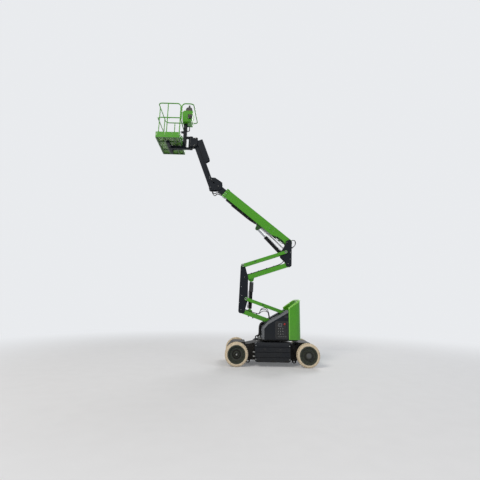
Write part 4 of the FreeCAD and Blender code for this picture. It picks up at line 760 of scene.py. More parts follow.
# the moulded ground panel behind the door's opening, with its stop button at the top towards the tail
panelParts = {
    "front": 0.5362,
    "stop": (-0.330, 1.056),
    "screen": (-0.219, 1.035, 0.046, 0.034),     # centre and half sizes
    "key": (-0.352, 0.965),
    "switchX": (-0.165, -0.225, -0.285),
    "switchZ": (0.800, 0.870, 0.940),
    "breakerX": (-0.36, -0.30, -0.24, -0.18),
}
front = panelParts["front"]
plinths = [block((x - 0.022, front - 0.002, z - 0.026), (x + 0.022, front + 0.003, z + 0.026), 0.002)
           for x in panelParts["switchX"] for z in panelParts["switchZ"]]
panelBody = [block((-0.4075, 0.431, 0.7125), (-0.1085, front, 1.1035), 0.004), block((-0.400, 0.431, 0.671), (-0.116, 0.520, 0.7125), 0.002),
             block((-0.395, front - 0.002, 0.7665), (-0.121, front + 0.0015, 0.7695), 0.0006)]
addPiece("ground_panel", joined(panelBody + plinths), blackPlastic, "turntable", 32, ["control_panel"])
toggle = joined([revolved([(0.0145, 0), (0.0145, 0.002), (0.0120, 0.004), (0.0100, 0.0065), (0.0085, 0.008)], 6),
                 moved(revolved([(0.0070, 0), (0.0062, 0.008), (0.0040, 0.011), (0.0036, 0.020), (0.0052, 0.025),
                                 (0.0045, 0.0280)], 20), (0, 0.006, 0), axisTurn("x", 0.35))])
addPiece("ground_switches", scattered(toggle, [(x, front + 0.003, z) for x in panelParts["switchX"] for z in panelParts["switchZ"]]),
         zincSteel, "turntable")
stopX, stopZ = panelParts["stop"]
collar = revolved([(0.034, -0.001), (0.034, 0.003), (0.031, 0.006), (0.024, 0.0075)], 40)
mushroom = revolved([(0.014, 0.006), (0.014, 0.014), (0.0235, 0.0155), (0.0255, 0.0205), (0.0245, 0.0255), (0.0200, 0.0300), (0.0110, 0.0325),
                     (0.003, 0.0333)], 40)
addPiece("ground_stop_plate", moved(collar, (stopX, front, stopZ)), blackPlastic, "turntable")
addPiece("ground_stop_button", moved(mushroom, (stopX, front, stopZ)), redPlastic, "turntable")


def rectangle(middleX, middleZ, halfX, halfZ, radius):
    return rounded([(middleX - halfX, middleZ - halfZ), (middleX + halfX, middleZ - halfZ), (middleX + halfX, middleZ + halfZ),
                    (middleX - halfX, middleZ + halfZ)], radius)


screenX, screenZ, screenHalf, screenTall = panelParts["screen"]
bezel = frameRing(rectangle(screenX, screenZ, screenHalf, screenTall, 0.006),
                  rectangle(screenX, screenZ, screenHalf - 0.008, screenTall - 0.008, 0.003), front - 0.001, front + 0.007)
addPiece("hour_meter_bezel", bezel, greyEnamel, "turntable")
keySwitch = joined([revolved([(0.0135, -0.001), (0.0135, 0.005), (0.0115, 0.007)], 32),
                    block((-0.0012, 0.006, -0.016), (0.0012, 0.012, 0.006), 0.0004),
                    moved(revolved([(0.0125, -0.0011), (0.0125, 0.0011)], 24), (0, 0.018, -0.005), axisTurn("z", math.pi / 2))])
addPiece("key_switch", moved(keySwitch, (panelParts["key"][0], front, panelParts["key"][1])), darkSteel, "turntable")
breaker = joined([plate(rounded([(-0.022, -0.016), (0.022, -0.016), (0.022, 0.016), (-0.022, 0.016)], 0.004), -0.001, 0.005),
                  revolved([(0.007, 0.004), (0.007, 0.011), (0.005, 0.0125)], 20)])
addPiece("breaker_row", scattered(breaker, [(x, front, 0.742) for x in panelParts["breakerX"]]), castIron, "turntable")

# doors: screws, flush paddle latches and the hinge screws
for doorSide, doorName in ((1, "left"), (-1, "right")):
    places = [(x, face - 0.0002, z) for x, z in turntableParts["doorBolts"]]
    screws = scattered(revolved([(0.0098, 0), (0.0098, 0.0015), (0.0085, 0.0035), (0.0045, 0.0042), (0.0045, 0.0022)], 24),
                       places)
    paddle = joined([frameRing(rounded([(-0.052, -0.031), (0.052, -0.031), (0.052, 0.031), (-0.052, 0.031)], 0.010),
                               rounded([(-0.040, -0.020), (0.040, -0.020), (0.040, 0.020), (-0.040, 0.020)], 0.006),
                               -0.002, 0.0035),
                     plate(rounded([(-0.036, -0.017), (0.036, -0.017), (0.036, 0.017), (-0.036, 0.017)], 0.005), -0.001, 0.0018)])
    latchPlace = (-0.385, face, 1.245) if doorName == "left" else (-0.37, face, 0.98)
    for shape, finish, name in ((screws, darkSteel, "screws"), (moved(paddle, latchPlace), blackPlastic, "latch")):
        if doorSide < 0:
            shape = (shape[0] * [1, -1, 1], shape[1])
        addPiece("door_%s_%s" % (name, doorName), shape, finish, "hood_door_" + doorName)
# louvres pressed into the right door, which has no panel
louvre = swept([(-0.07, 0, 0), (-0.066, 0.0, 0), (0.066, 0.0, 0), (0.07, 0, 0)],
               [(-0.001, -0.012), (0.0075, -0.009), (0.0095, -0.004), (0.006, 0.002), (0.0, 0.008), (-0.002, 0.0)])
louvres = scattered(louvre, [(x, -face + 0.0, z) for x in (-0.20, 0.0) for z in np.arange(0.74, 1.0, 0.036)])
addPiece("right_door_louvres", louvres, charcoalEnamel, "hood_door_right")

# the tail cover's rolled upper edge follows its plan and its slope


def tailPath(values, steps=14):
    inset, corner = 0.015, values["tailCorner"]
    front, rear, half = -0.442, -0.773, 0.55
    arc = np.linspace(0, math.pi / 2, steps)
    cx, cy = rear + inset + corner, half - inset - corner
    left = [(front - 0.001, half - inset)] + [(cx - corner * math.sin(a), cy + corner * math.cos(a)) for a in arc]
    plan = np.array(left + [(x, -y) for x, y in left[::-1]])
    rise = (1.690 - 1.454) / (rear - front)
    return np.column_stack([plan, 1.454 + (plan[:, 0] - front) * rise])

# the tail cover's rolled upper edge follows its plan and its slope; its lighter green is a painted highlight

addPiece("tail_cover_lip", swept(tailPath(turntableParts), circle(turntableParts["tailLip"], 18)), lipHighlightEnamel, "turntable", 50)
# its front edges are rolled as well, in the same lighter green as a painted highlight
edge = [(-0.462, 0.535, z) for z in (0.668, 0.672, 0.9, 1.2, 1.448)]
addPiece("tail_cover_edges", mirrored(tubeAlong(edge, 0.0172, 18)), lipHighlightEnamel, "turntable", 50)
print("turntable", pieceCount)


# Riser, boom and jib: pins with their keepers, clamps, welds and hoses

pinParts = {
    # name: pin, body that holds it, radius, outer face of the pin in metres from the centre plane, keeper angle in degrees
    "mast_upper": ("mastUpper", "turntable", 0.020, 0.154, 0),
    "mid_upper": ("midUpper", "mid_upright", 0.020, 0.154, 20),
    "stage_upper": ("stageUpper", "mid_upright", 0.020, 0.154, -20),
    "top_upper": ("topUpper", "upper_upright", 0.020, 0.154, 10),
    "mast_lower": ("mastLower", "turntable", 0.020, 0.122, 60),
    "mid_lower": ("midLower", "mid_upright", 0.020, 0.115, 80),
    "stage_lower": ("stageLower", "mid_upright", 0.020, 0.115, 75),
    "top_lower": ("topLower", "upper_upright", 0.020, 0.115, 90),
    "boom_pivot": ("boomPivot", "upper_upright", 0.024, 0.122, 35),
    "head": ("head", "jib_head", 0.020, 0.100, 100),
    "jib_lower": ("jibLower", "jib_head", 0.020, 0.100, 40),
    "jib_upper": ("jibUpper", "jib_head", 0.020, 0.100, 60),
    "tip_lower": ("tipLower", "jib_tip", 0.020, 0.100, 20),
    "tip_upper": ("tipUpper", "jib_tip", 0.020, 0.100, 0),
}
keeperPlates, keeperBolts, pinWashers, nipples = {}, {}, {}, {}
for pinPart, (pinName, body, radius, outer, lean) in pinParts.items():
    tilt = axisTurn("y", -math.radians(lean))
    on = pins[pinName][[0]].tolist() + [0] + pins[pinName][[1]].tolist()
    onBar = outer > 0.15
    washer = revolved([(radius * 1.05, 0.0), (radius + 0.014, 0.0), (radius + 0.014, 0.0028), (radius + 0.0125, 0.004),
                       (radius * 1.05, 0.004)], 40, True)
    keeper = plate(rounded([(-radius - 0.006, -0.011), (radius + 0.027, -0.011), (radius + 0.027, 0.011), (-radius - 0.006, 0.011)],
                           0.0075), 0, 0.005)
    bolt = moved(hexBolt(0.008), (radius + 0.014, 0.005, 0))
    face = outer
    shapes = {"plate": moved(keeper, (0, face, 0)), "bolt": moved(bolt, (0, face, 0)),
              "nipple": moved(greaseNipple(), (-0.007, face + 0.0048, 0))}
    seatWasher = 0.1481 if onBar else None
    for kind, store in (("plate", keeperPlates), ("bolt", keeperBolts), ("nipple", nipples)):
        store.setdefault(body, []).append(moved(mirrored(moved(shapes[kind], (0, 0, 0), tilt)), on))
    if onBar:
        pinWashers.setdefault(body, []).append(moved(mirrored(moved(washer, (0, seatWasher, 0))), on))
for label, store, finish in (("pin_keepers_", keeperPlates, blackEnamel), ("keeper_bolts_", keeperBolts, zincSteel),
                             ("grease_nipples_", nipples, zincSteel), ("bar_end_washers_", pinWashers, zincSteel)):
    for body, shapes in store.items():
        addPiece(label + body, joined(shapes), finish, body)

# bolts for the hose guides on the uprights
upright = {
    "bolts": {"mid_upright": [("midLower", 0.055, 0.23), ("midLower", -0.01, 0.42), ("midLower", 0.01, 0.66)],
              "upper_upright": [("topLower", -0.06, 0.16), ("topLower", -0.07, 0.36)]},
    "face": 0.1142,
}
for body, places in upright["bolts"].items():
    spots = [(pins[pinName][0] + dx, upright["face"], pins[pinName][1] + dz) for pinName, dx, dz in places]
    addPiece("guide_bolts_" + body, bothFaces(hexBolt(0.008), spots), zincSteel, body)

# weld beads where plates meet: ears on the links and the boom, the boom's edges and collar, the tube through the boom's
# rear


def arcPath(centre, radius, y, start, end, steps=30):
    angle = np.radians(np.linspace(start, end, steps))
    return np.stack([centre[0] + radius * np.cos(angle), np.full(steps, y), centre[1] + radius * np.sin(angle)], axis=1)


welds = {
    # name: pin, angle, body, finish, seam points as (along, y, above)
    "link1_ears": ("mastLower", "link", "lower_link_1", greenEnamel,
                   [[(0.985, y, 0.0605), (1.155, y, 0.0605)] for y in (0.0475, -0.0475)]),
    "link2_ears": ("topLower", "link2", "lower_link_2", greenEnamel,
                   [[(1.045, y, -0.0655), (1.215, y, -0.0655)] for y in (0.0475, -0.0475)]),
    "boom_ears": ("boomPivot", "boom", "main_boom", greenEnamel,
                  [[(0.89, y, -0.1105), (1.06, y, -0.1105)] for y in (0.0475, -0.0475)]),
    "boom_edges": ("boomPivot", "boom", "main_boom", greenEnamel,
                   [[(0.54, y, z), (2.325, y, z)] for y in (0.0902, -0.0902) for z in (-0.103, 0.133)]),
    "collar_edge": ("boomPivot", "boom", "main_boom", greenEnamel,
                    [[(2.329, 0.091, -0.109), (2.329, 0.091, 0.139)], [(2.329, -0.091, -0.109), (2.329, -0.091, 0.139)],
                     [(2.329, -0.089, 0.141), (2.329, 0.089, 0.141)]]),
}
angles["link2"] = -angles["link"]
for weldName, (pinName, angleName, body, finish, seams) in welds.items():
    beads = [weldBead(placeOn(pinName, angles[angleName], seam), 0.0032) for seam in seams]
    addPiece("weld_" + weldName, joined(beads), finish, body, 60)
boss = arcPath((0, 0), 0.0475, 0.0905, 0, 360, 50)
addPiece("weld_boom_pivot", mirrored(weldBead(boss + [pins["boomPivot"][0], 0, pins["boomPivot"][1]], 0.0035)), greenEnamel,
         "main_boom", 60)

# a black grommet closes the hole in each bar of both upper links; clips hang below lower link 1
grommet = revolved([(0.019, 0.0), (0.019, 0.002), (0.014, 0.0035), (0.003, 0.0015)], 28)
for body, pinName, angleName, along in (("upper_link_1", "mastUpper", "link", 0.80), ("upper_link_2", "topUpper", "link2", 0.94)):
    addPiece("bar_grommets_" + body, onLink(mirrored(moved(grommet, (along, 0.1479, 0.0))), pinName, angles[angleName]), blackPlastic, body)
clips = [block((a - 0.014, -0.022, -0.086), (a + 0.014, 0.022, -0.0600), 0.003) for a in (0.93, 1.06)]
addPiece("link_clips", onLink(joined(clips), "mastLower", angles["link"]), blackEnamel, "lower_link_1")

# set screws of the telescope wear pads round the collar, the boom's inspection cover, and bands round the hose tray
collarParts = {"along": 2.375, "half": 0.1002, "height": (-0.060, 0.000, 0.090)}
collarScrews = [(collarParts["along"] + d, collarParts["half"], z) for d in (-0.022, 0.022) for z in collarParts["height"]]
addPiece("collar_screws", onLink(mirrored(scattered(hexNut(0.010), collarScrews)), "boomPivot", angles["boom"]), zincSteel,
         "main_boom")
topScrews = [(collarParts["along"] + d, y, 0.1502) for d in (-0.022, 0.022) for y in (-0.05, 0.05)]
addPiece("collar_top_screws", onLink(scattered(hexNut(0.010), topScrews, axisTurn("x", math.pi / 2)), "boomPivot",
                                     angles["boom"]), zincSteel, "main_boom")
cover = plate(rounded([(-0.09, -0.045), (0.09, -0.045), (0.09, 0.045), (-0.09, 0.045)], 0.018), 0, 0.003)
coverScrews = scattered(hexBolt(0.006), [(x, 0.003, z) for x in (-0.072, 0.072) for z in (-0.03, 0.03)])
addPiece("boom_cover", onLink(mirrored(moved(cover, (0.62, 0.0901, 0.045))), "boomPivot", angles["boom"]), greenEnamel, "main_boom")
addPiece("boom_cover_screws", onLink(mirrored(moved(coverScrews, (0.62, 0.0901, 0.045))), "boomPivot", angles["boom"]),
         zincSteel, "main_boom")
tray = {"along": np.arange(1.18, 2.24, 0.21), "low": -0.1103, "half": 0.045}
trayBands = [block((a - 0.011, -tray["half"] - 0.002, tray["low"] - 0.0405), (a + 0.011, tray["half"] + 0.002, tray["low"] + 0.0), 0.001)
             for a in tray["along"]]
addPiece("hose_tray_bands", onLink(joined(trayBands), "boomPivot", angles["boom"]), darkSteel, "main_boom")

# gland rings and wipers of the three cylinders, base welds, and ported valve blocks with their pipes
cylinders = {
    # name: body of the barrel, foot pin, direction, bore radius, length between pins when closed, rod radius
    "riser": ("riser_barrel", "riserFoot", "riserRod", 0.050, 0.640, 0.028),
    "boom": ("boom_barrel", "boomFoot", "boomRod", 0.050, 0.780, 0.030),
    "jib": ("jib_barrel", "tipUpper", "jibRod", 0.030, 1.240, 0.017),
}
for cylinderName, (body, pinName, angleName, bore, closed, rod) in cylinders.items():
    end = closed - 0.052
    gland = moved(revolved([(rod + 0.001, 0), (bore - 0.004, 0), (bore - 0.004, 0.006), (bore - 0.010, 0.009),
                            (rod + 0.001, 0.009)], 48, True), (end, 0, 0), axisTurn("z", -math.pi / 2))
    wiper = moved(revolved([(rod + 0.0006, 0), (rod + 0.0025, 0), (rod + 0.0025, 0.002), (rod + 0.0006, 0.0035)], 40, True),
                  (end + 0.009, 0, 0), axisTurn("z", -math.pi / 2))
    addPiece(cylinderName + "_gland", onLink(gland, pinName, angles[angleName]), zincSteel, body)
    addPiece(cylinderName + "_wiper", onLink(wiper, pinName, angles[angleName]), blackPlastic, body)
    if cylinderName != "riser":
        weld = weldBead([(0.061, bore * 0.96 * math.cos(a), bore * 0.96 * math.sin(a)) for a in np.linspace(0, turnFull, 40)], 0.003)
        addPiece(cylinderName + "_base_weld", onLink(weld, pinName, angles[angleName]), blackEnamel, body, 60)
    if cylinderName == "jib":
        continue
    # the valve block at the foot and the pipe from it to the rod end, along the upper side
    valve = joined([block((0.075, -0.024, bore - 0.006), (0.155, 0.024, bore + 0.034), 0.003),
                    moved(revolved([(0.012, 0), (0.012, 0.012), (0.009, 0.014), (0.009, 0.022), (0.012, 0.024), (0.012, 0.036),
                                    (0.009, 0.038)], 6), (0.115, 0.022, bore + 0.014)),
                    moved(revolved([(0.010, 0), (0.010, 0.010), (0.007, 0.012)], 6), (0.095, -0.022, bore + 0.014), axisTurn("z", math.pi))])
    pipeRise = bore + 0.013
    pipe = np.array([(0.150, 0.008, bore + 0.016), (0.19, 0.008, bore + 0.016), (0.22, 0.004, pipeRise), (0.30, 0.0, pipeRise),
                     (end - 0.16, 0.0, pipeRise), (end - 0.07, 0.0, pipeRise), (end - 0.045, 0, pipeRise - 0.006),
                     (end - 0.038, 0, bore - 0.004)])
    if cylinderName == "riser":
        valve = (valve[0] * [1, 1, -1], valve[1])
        pipe = pipe * [1, 1, -1]
    addPiece(cylinderName + "_valve", onLink(valve, pinName, angles[angleName]), zincSteel, body)
    route = routePoints(pipe, 60)
    addPiece(cylinderName + "_pipe", onLink(swept(route, circle(0.0065, 12)), pinName, angles[angleName]), zincSteel, body)
# a split sleeve guards the riser's rod; its slot lets the barrel's pipe pass as the rod goes in
sleeve = {"inner": 0.0585, "outer": 0.0635, "slot": 35, "start": 0.29, "length": 0.27}
reach = float(np.linalg.norm(pins["riserTip"] - pins["riserFoot"]))
turn = np.radians(np.linspace(-90 + sleeve["slot"], 270 - sleeve["slot"], 40))
arc = np.concatenate([sleeve["outer"] * np.stack([np.cos(turn), np.sin(turn)], axis=1),
                      sleeve["inner"] * np.stack([np.cos(turn[::-1]), np.sin(turn[::-1])], axis=1)])
stations = np.array([-sleeve["start"] - sleeve["length"] * 0.0, -sleeve["start"] + sleeve["length"]]) + reach - 0.04
shell = np.stack([np.column_stack([np.full(len(arc), a), arc[:, 0], arc[:, 1]]) for a in stations]).reshape(-1, 3)
shellFaces = gridFaces(2, len(arc), False, True).tolist()
count, half = len(arc), len(arc) // 2
shellFaces += [[base + i, base + i + 1, base + count - 2 - i, base + count - 1 - i] for base in (0, count) for i in range(half - 1)]
addPiece("riser_rod_guard", onLink((shell, shellFaces), "riserFoot", angles["riserRod"]), blackPlastic, "riser_rod", 40)
print("riser, boom and jib", pieceCount)


# Hoses: the bundle that runs from the turntable to the basket, in one run over each joint

def hose(name, controls, radius, finish, body, other=None, count=64):
    # a hose on one body, or one that runs from the first body to the other over their joint, left in the scene on
    # neither body
    path = routePoints(controls, count)
    made = addPiece(name, tubeAlong(path, radius, 12), finish, None if other else body, 80)
    if other:
        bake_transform(made)
    return path


def inFrame(points, y):
    # (x, z) points in the centre plane, set out to one y
    return [(x, y, z) for x, z in points]


def onPart(pinName, angleName, points, y):
    return placeOn(pinName, angles[angleName], [(a, y, z) for a, z in points]).tolist()


hoses = {
    # name: radius, y places
    "arch": (0.0090, [(0.106, -0.045, 0.060), (-0.106, 0.0, -0.060), (0.106, 0.040, 0.0365)]),
    "mid": (0.0110, [0.060, 0.0365, -0.060]),
    "top": (0.0090, [0.060, 0.0365, -0.060]),
    "boomLower": (0.0078, [0.060, -0.060]),
    "head": (0.0125, [0.058, -0.058]),
    "jib": (0.0062, [0.0432, -0.0432]),
}
radius, arches = hoses["arch"]
for i, (low, lift, high) in enumerate(arches):
    path = onPart("mastLower", "link", [(1.16, 0.072), (1.0, 0.074), (0.86, 0.078), (0.79, 0.10)], high)
    path += [(0.27, (high + low) / 2, 1.385 + lift), (0.18, low, 1.425 + lift), (0.09, low, 1.40 + lift), (0.035, low, 1.30),
             (0.02, low, 1.15), (0.015, low, 0.98), (0.03, low, 0.82), (0.03, low, 0.66)]
    hose("hose_arch_%d" % i, path[::-1], radius, hoseRubber, "turntable", "lower_link_1", 90)
radius, places = hoses["mid"]
for i, y in enumerate(places):
    path = onPart("mastLower", "link", [(1.155, 0.072), (1.20, 0.074), (1.26, 0.10)], y)
    path += inFrame([(0.790, 1.52), (0.800, 1.64), (0.795, 1.80)], y)
    hose("hose_lower_turn_%d" % i, path, radius, hoseRubber, "lower_link_1", "mid_upright")
    path = inFrame([(0.795, 1.79), (0.795, 1.95), (0.812, 2.12), (0.818, 2.28), (0.795, 2.37)], y)
    path += onPart("topLower", "link2", [(1.24, 0.090), (1.14, 0.078), (0.98, 0.077), (0.70, 0.077), (0.42, 0.077)], y)
    hose("hose_upper_turn_%d" % i, path, radius, hoseRubber, "mid_upright", "lower_link_2", 90)
    path = onPart("topLower", "link2", [(0.43, 0.077), (0.26, 0.078), (0.13, 0.098)], y)
    path += inFrame([(-0.44, 2.84), (-0.47, 2.96), (-0.50, 3.08), (-0.53, 3.16)], y)
    hose("hose_top_turn_%d" % i, path, radius, hoseRubber, "lower_link_2", "upper_upright")
radius, places = hoses["top"]
for i, y in enumerate(places[:2]):
    path = inFrame([(-0.53, 3.15), (-0.585, 3.16), (-0.66, 3.185 - 0.01 * i), (-0.725, 3.24), (-0.748 + 0.01 * i, 3.315), (-0.725, 3.38),
                    (-0.67, 3.398), (-0.62, 3.372), (-0.602, 3.335)], y * 1.2)
    hose("hose_boom_rear_%d" % i, path, radius, hoseRubber, "upper_upright", "main_boom")
radius, places = hoses["boomLower"]
for i, y in enumerate(places):
    path = inFrame([(-0.50, 3.10), (-0.42, 3.13), (-0.33, 3.20)], y)
    path += onPart("boomPivot", "boom", [(0.24, -0.165), (0.42, -0.150 + 0.01 * i), (0.66, -0.142), (0.90, -0.136)], y)
    path += onPart("boomPivot", "boom", [(1.05, -0.129), (1.15, -0.129), (1.30, -0.129)], y * 0.45)
    hose("hose_boom_lower_%d" % i, path, radius, (hoseRubber, greyHose)[i], "upper_upright", "main_boom", 90)
for i, y in enumerate((0.012, -0.012, -0.036)):
    path = onPart("boomPivot", "boom", [(1.10, -0.130), (1.22, -0.152), (1.40, -0.1625), (1.60, -0.1625), (1.80, -0.1625),
                                        (1.92, -0.1625), (2.02, -0.1625)], y)
    hose("hose_boom_under_%d" % i, path, 0.0105, hoseRubber, "main_boom")
addPiece("upright_stub", block((-0.664, -0.032, 3.160), (-0.610, 0.032, 3.190), 0.004), blackPlastic, "upper_upright")
radius, places = hoses["head"]
for i, y in enumerate(places):
    path = onPart("boomPivot", "boom", [(2.45, -0.104), (2.54, -0.114 - 0.008 * i), (2.62, -0.165 - 0.012 * i)], y)
    path += inFrame([(1.63, 4.775 - 0.03 * i), (1.72, 4.755 - 0.03 * i), (1.765, 4.85)], y)
    hose("hose_head_loop_%d" % i, path, radius, hoseRubber, "boom_extension", "jib_head")
radius, places = hoses["jib"]
for i, y in enumerate(places):
    path = inFrame([(1.70, 5.02)], y * 1.16) + inFrame([(1.73, 5.075), (1.775, 5.10)], y)
    path += onPart("jibLower", "jib", [(0.20, 0.096), (0.34, 0.086), (0.62, 0.0835), (0.95, 0.0835), (1.16, 0.0835), (1.22, 0.0835)], y)
    hose("hose_jib_%d" % i, path, radius, hoseRubber, "jib_head", "jib_arm", 90)
    start = onPart("jibLower", "jib", [(1.20, 0.0835), (1.28, 0.086), (1.38, 0.100)], y)
    path = start + inFrame([(2.33, 6.44), (2.40, 6.50)], y)
    hose("hose_jib_tip_%d" % i, path, radius, hoseRubber, "jib_arm", "jib_tip", 40)
tipLoop = [(2.36, 0.085, 6.33), (2.37, 0.095, 6.25), (2.43, 0.115, 6.185), (2.52, 0.12, 6.165), (2.60, 0.10, 6.19), (2.645, 0.066, 6.26),
           (2.66, 0.058, 6.36)]
for i in range(2):
    path = [(x, y + 0.012 * i, z - 0.022 * i * math.sin(k / 6 * math.pi)) for k, (x, y, z) in enumerate(tipLoop)]
    hose("hose_platform_loop_%d" % i, path, 0.007, hoseRubber, "jib_tip", "platform")
postPath = [(2.66, 0.0585, 6.35), (2.68, 0.0585, 6.45), (2.685, 0.0585, 6.62), (2.685, 0.0585, 6.85), (2.68, 0.0585, 6.98), (2.66, 0.060, 7.075)]
hose("cable_post", postPath, 0.0075, hoseRubber, "platform")

# the thick covered bundle down the hood's front, with its couplings on the deck
frontBundle = [(0.02, 0.1425, 0.96), (0.12, 0.1425, 1.050), (0.205, 0.1425, 1.080), (0.275, 0.1425, 1.035), (0.300, 0.1425, 0.95), (0.302, 0.1425, 0.86),
               (0.303, 0.1425, 0.78), (0.325, 0.1425, 0.725), (0.372, 0.13, 0.705)]
hose("bundle_front", frontBundle, 0.028, hoseRubber, "turntable", count=80)
for i, (dx, dy) in enumerate(((0.0, 0.0), (0.012, 0.05), (0.006, -0.05))):
    path = [(0.378 + dx, 0.13 + dy * 0.4, 0.722), (0.402 + dx, 0.13 + dy * 0.8, 0.705), (0.41 + dx, 0.13 + dy, 0.668), (0.385, 0.13 + dy, 0.640),
            (0.330, 0.13 + dy, 0.628)]
    hose("hose_deck_%d" % i, path, 0.011, hoseRubber, "turntable")
ledge = block((0.250, 0.080, 0.6560), (0.352, 0.180, 0.6640), 0.001)
addPiece("deck_ledge", ledge, blackEnamel, "turntable")
manifold = joined([block((0.290, 0.088, 0.6640), (0.345, 0.172, 0.6980), 0.003)] +
                  [moved(revolved([(0.012, 0), (0.012, 0.010), (0.009, 0.012), (0.009, 0.020)], 6), (0.3445, y, 0.681), axisTurn("z", -math.pi / 2))
                   for y in (0.100, 0.130, 0.160)])
addPiece("deck_manifold", manifold, zincSteel, "turntable")
swivelFitting = joined([revolved([(0.014, 0), (0.014, 0.010), (0.010, 0.012), (0.010, 0.022)], 6),
                        moved(revolved([(0.0125, 0), (0.0125, 0.014), (0.0105, 0.016)], 20), (0, 0.022, 0))])
addPiece("deck_fittings", scattered(swivelFitting, [(0.262, 0.13 + dy, 0.628 + 0.014) for dy in (0.0, 0.05, -0.05)],
                                    axisTurn("z", -math.pi / 2)), zincSteel, "turntable")

# clamps across the hose bundles on both lower links
clampShape = joined([block((-0.010, -0.080, 0.0), (0.010, 0.080, 0.002), 0.0005),
                     block((-0.010, -0.080, 0.001), (0.010, -0.074, 0.026), 0.001),
                     block((-0.010, 0.074, 0.001), (0.010, 0.080, 0.026), 0.001),
                     block((-0.010, -0.082, 0.0255), (0.010, 0.082, 0.0295), 0.001)])
linkClamps = {"lower_link_1": ("mastLower", "link", 0.0602, (0.86,)), "lower_link_2": ("topLower", "link2", 0.0652, (0.40, 0.62, 0.86, 1.08))}
for body, (pinName, angleName, seat, alongs) in linkClamps.items():
    bands = scattered(clampShape, [(a, 0, seat) for a in alongs])
    screws = scattered(hexBolt(0.006), [(a, y, seat + 0.0295) for a in alongs for y in (-0.070, 0.070)], axisTurn("x", math.pi / 2))
    addPiece("hose_clamps_" + body, onLink(bands, pinName, angles[angleName]), blackEnamel, body)
    addPiece("hose_clamp_screws_" + body, onLink(screws, pinName, angles[angleName]), zincSteel, body)
print("hoses", pieceCount)


# Platform

platformParts = {
    "x": (2.745, 3.470),
    "half": 0.640,
    "floor": 6.293,
    "ribX": (2.775, 2.930, 3.220, 3.440),
    "ribY": (-0.610, -0.290, 0.300, 0.610),
    "ribSize": (0.030, 0.026),
    "meshTop": 6.3245,
    "strandStep": 0.0115,
    "strandWave": 0.060,
    "strandWidth": 0.0098,
    "railTop": 7.424,
    "railMid": 6.949,
    "railInset": 0.0233,
}


def meshFloor(values):
    # expanded metal: wavy strands side by side, which touch at each crest
    (x0, x1), half = values["x"], values["half"] - 0.014
    count = int((x1 - x0 - 0.03) / values["strandStep"])
    knots = int(2 * half / (values["strandWave"] / 2)) + 1
    x = x0 + 0.015 + (np.arange(count) + 0.5) * values["strandStep"]
    y = np.linspace(-half, half, knots)
    wave = np.where(np.arange(knots) % 2, 0.5, -0.5) * (values["strandStep"] - values["strandWidth"])
    sign = np.where(np.arange(count) % 2, 1, -1)
    line = x[:, None] + sign[:, None] * wave[None]
    corners = [(-0.5, -1), (0.5, -1), (0.5, 0), (-0.5, 0)]
    points = np.stack([np.stack([line + across * values["strandWidth"], np.repeat(y[None], count, axis=0),
                                 np.full_like(line, values["meshTop"] + lift * 0.003)], axis=-1)
                       for across, lift in corners], axis=2)
    one = gridFaces(knots, 4, False, True)
    ends = np.array([[0, 1, 2, 3], [(knots - 1) * 4 + k for k in (3, 2, 1, 0)]])
    one = np.concatenate([one, ends])
    faces = (one[None] + (np.arange(count) * knots * 4)[:, None, None]).reshape(-1, 4)
    return points.reshape(-1, 3), faces.tolist()


width, height = platformParts["ribSize"]
(floorX0, floorX1), floorZ, half = platformParts["x"], platformParts["floor"], platformParts["half"]
ribs = [block((x - width / 2, -half + 0.016, floorZ), (x + width / 2, half - 0.016, floorZ + height), 0.0015) for x in platformParts["ribX"]]
ribs += [block((floorX0 + 0.030, y - width / 2, floorZ + 0.002), (floorX1 - 0.030, y + width / 2, floorZ + height - 0.0005), 0.0015)
         for y in platformParts["ribY"]]
addPiece("floor_ribs", joined(ribs), darkGreenEnamel, "platform", 32, ["platform_floor"])
addPiece("floor_mesh", meshFloor(platformParts), oliveMesh, "platform", 32)

railWelds = []
for y in (-half + platformParts["railInset"], half - platformParts["railInset"]):
    for x in (2.7683, 3.1, 3.4467):
        ring = [(x + 0.019 * math.cos(a), y + 0.019 * math.sin(a), platformParts["railMid"] - 0.018) for a in np.linspace(0, turnFull, 16)]
        railWelds.append(weldBead(ring, 0.0026))
addPiece("rail_welds", joined(railWelds), greenEnamel, "platform", 60)
toeBolts = [(x, half + 0.0001 - 0.0003, z) for x in (2.79, 2.97, 3.19, 3.42) for z in (6.385, 6.44)]
addPiece("toe_board_bolts", bothFaces(hexBolt(0.008), toeBolts), zincSteel, "platform")
frontToe = scattered(hexBolt(0.006, False), [(3.4700, y, 6.42) for y in (-0.56, -0.37, 0.0, 0.37, 0.56)], axisTurn("z", -math.pi / 2))
addPiece("toe_board_front_bolts", frontToe, zincSteel, "platform")
print("platform", pieceCount)


# Upper controls

consoleParts = {
    "x": (2.450, 2.790),
    "top": 7.439,
    "half": 0.190,
    "shelf": 7.089,
    "levers": [(2.700, 0.115), (2.700, -0.115)],
    "switches": [(2.735, y) for y in (-0.055, -0.02, 0.015, 0.05)],
}
boot = revolved([(0.034, 0), (0.034, 0.004), (0.028, 0.009), (0.024, 0.013), (0.026, 0.017), (0.019, 0.022), (0.021, 0.026), (0.014, 0.031),
                 (0.015, 0.035), (0.008, 0.040)], 32)
grip = revolved([(0.006, 0.036), (0.006, 0.060), (0.016, 0.066), (0.0185, 0.080), (0.0175, 0.105), (0.020, 0.122), (0.0185, 0.132), (0.010, 0.137)], 28)
upright90 = axisTurn("x", math.pi / 2)
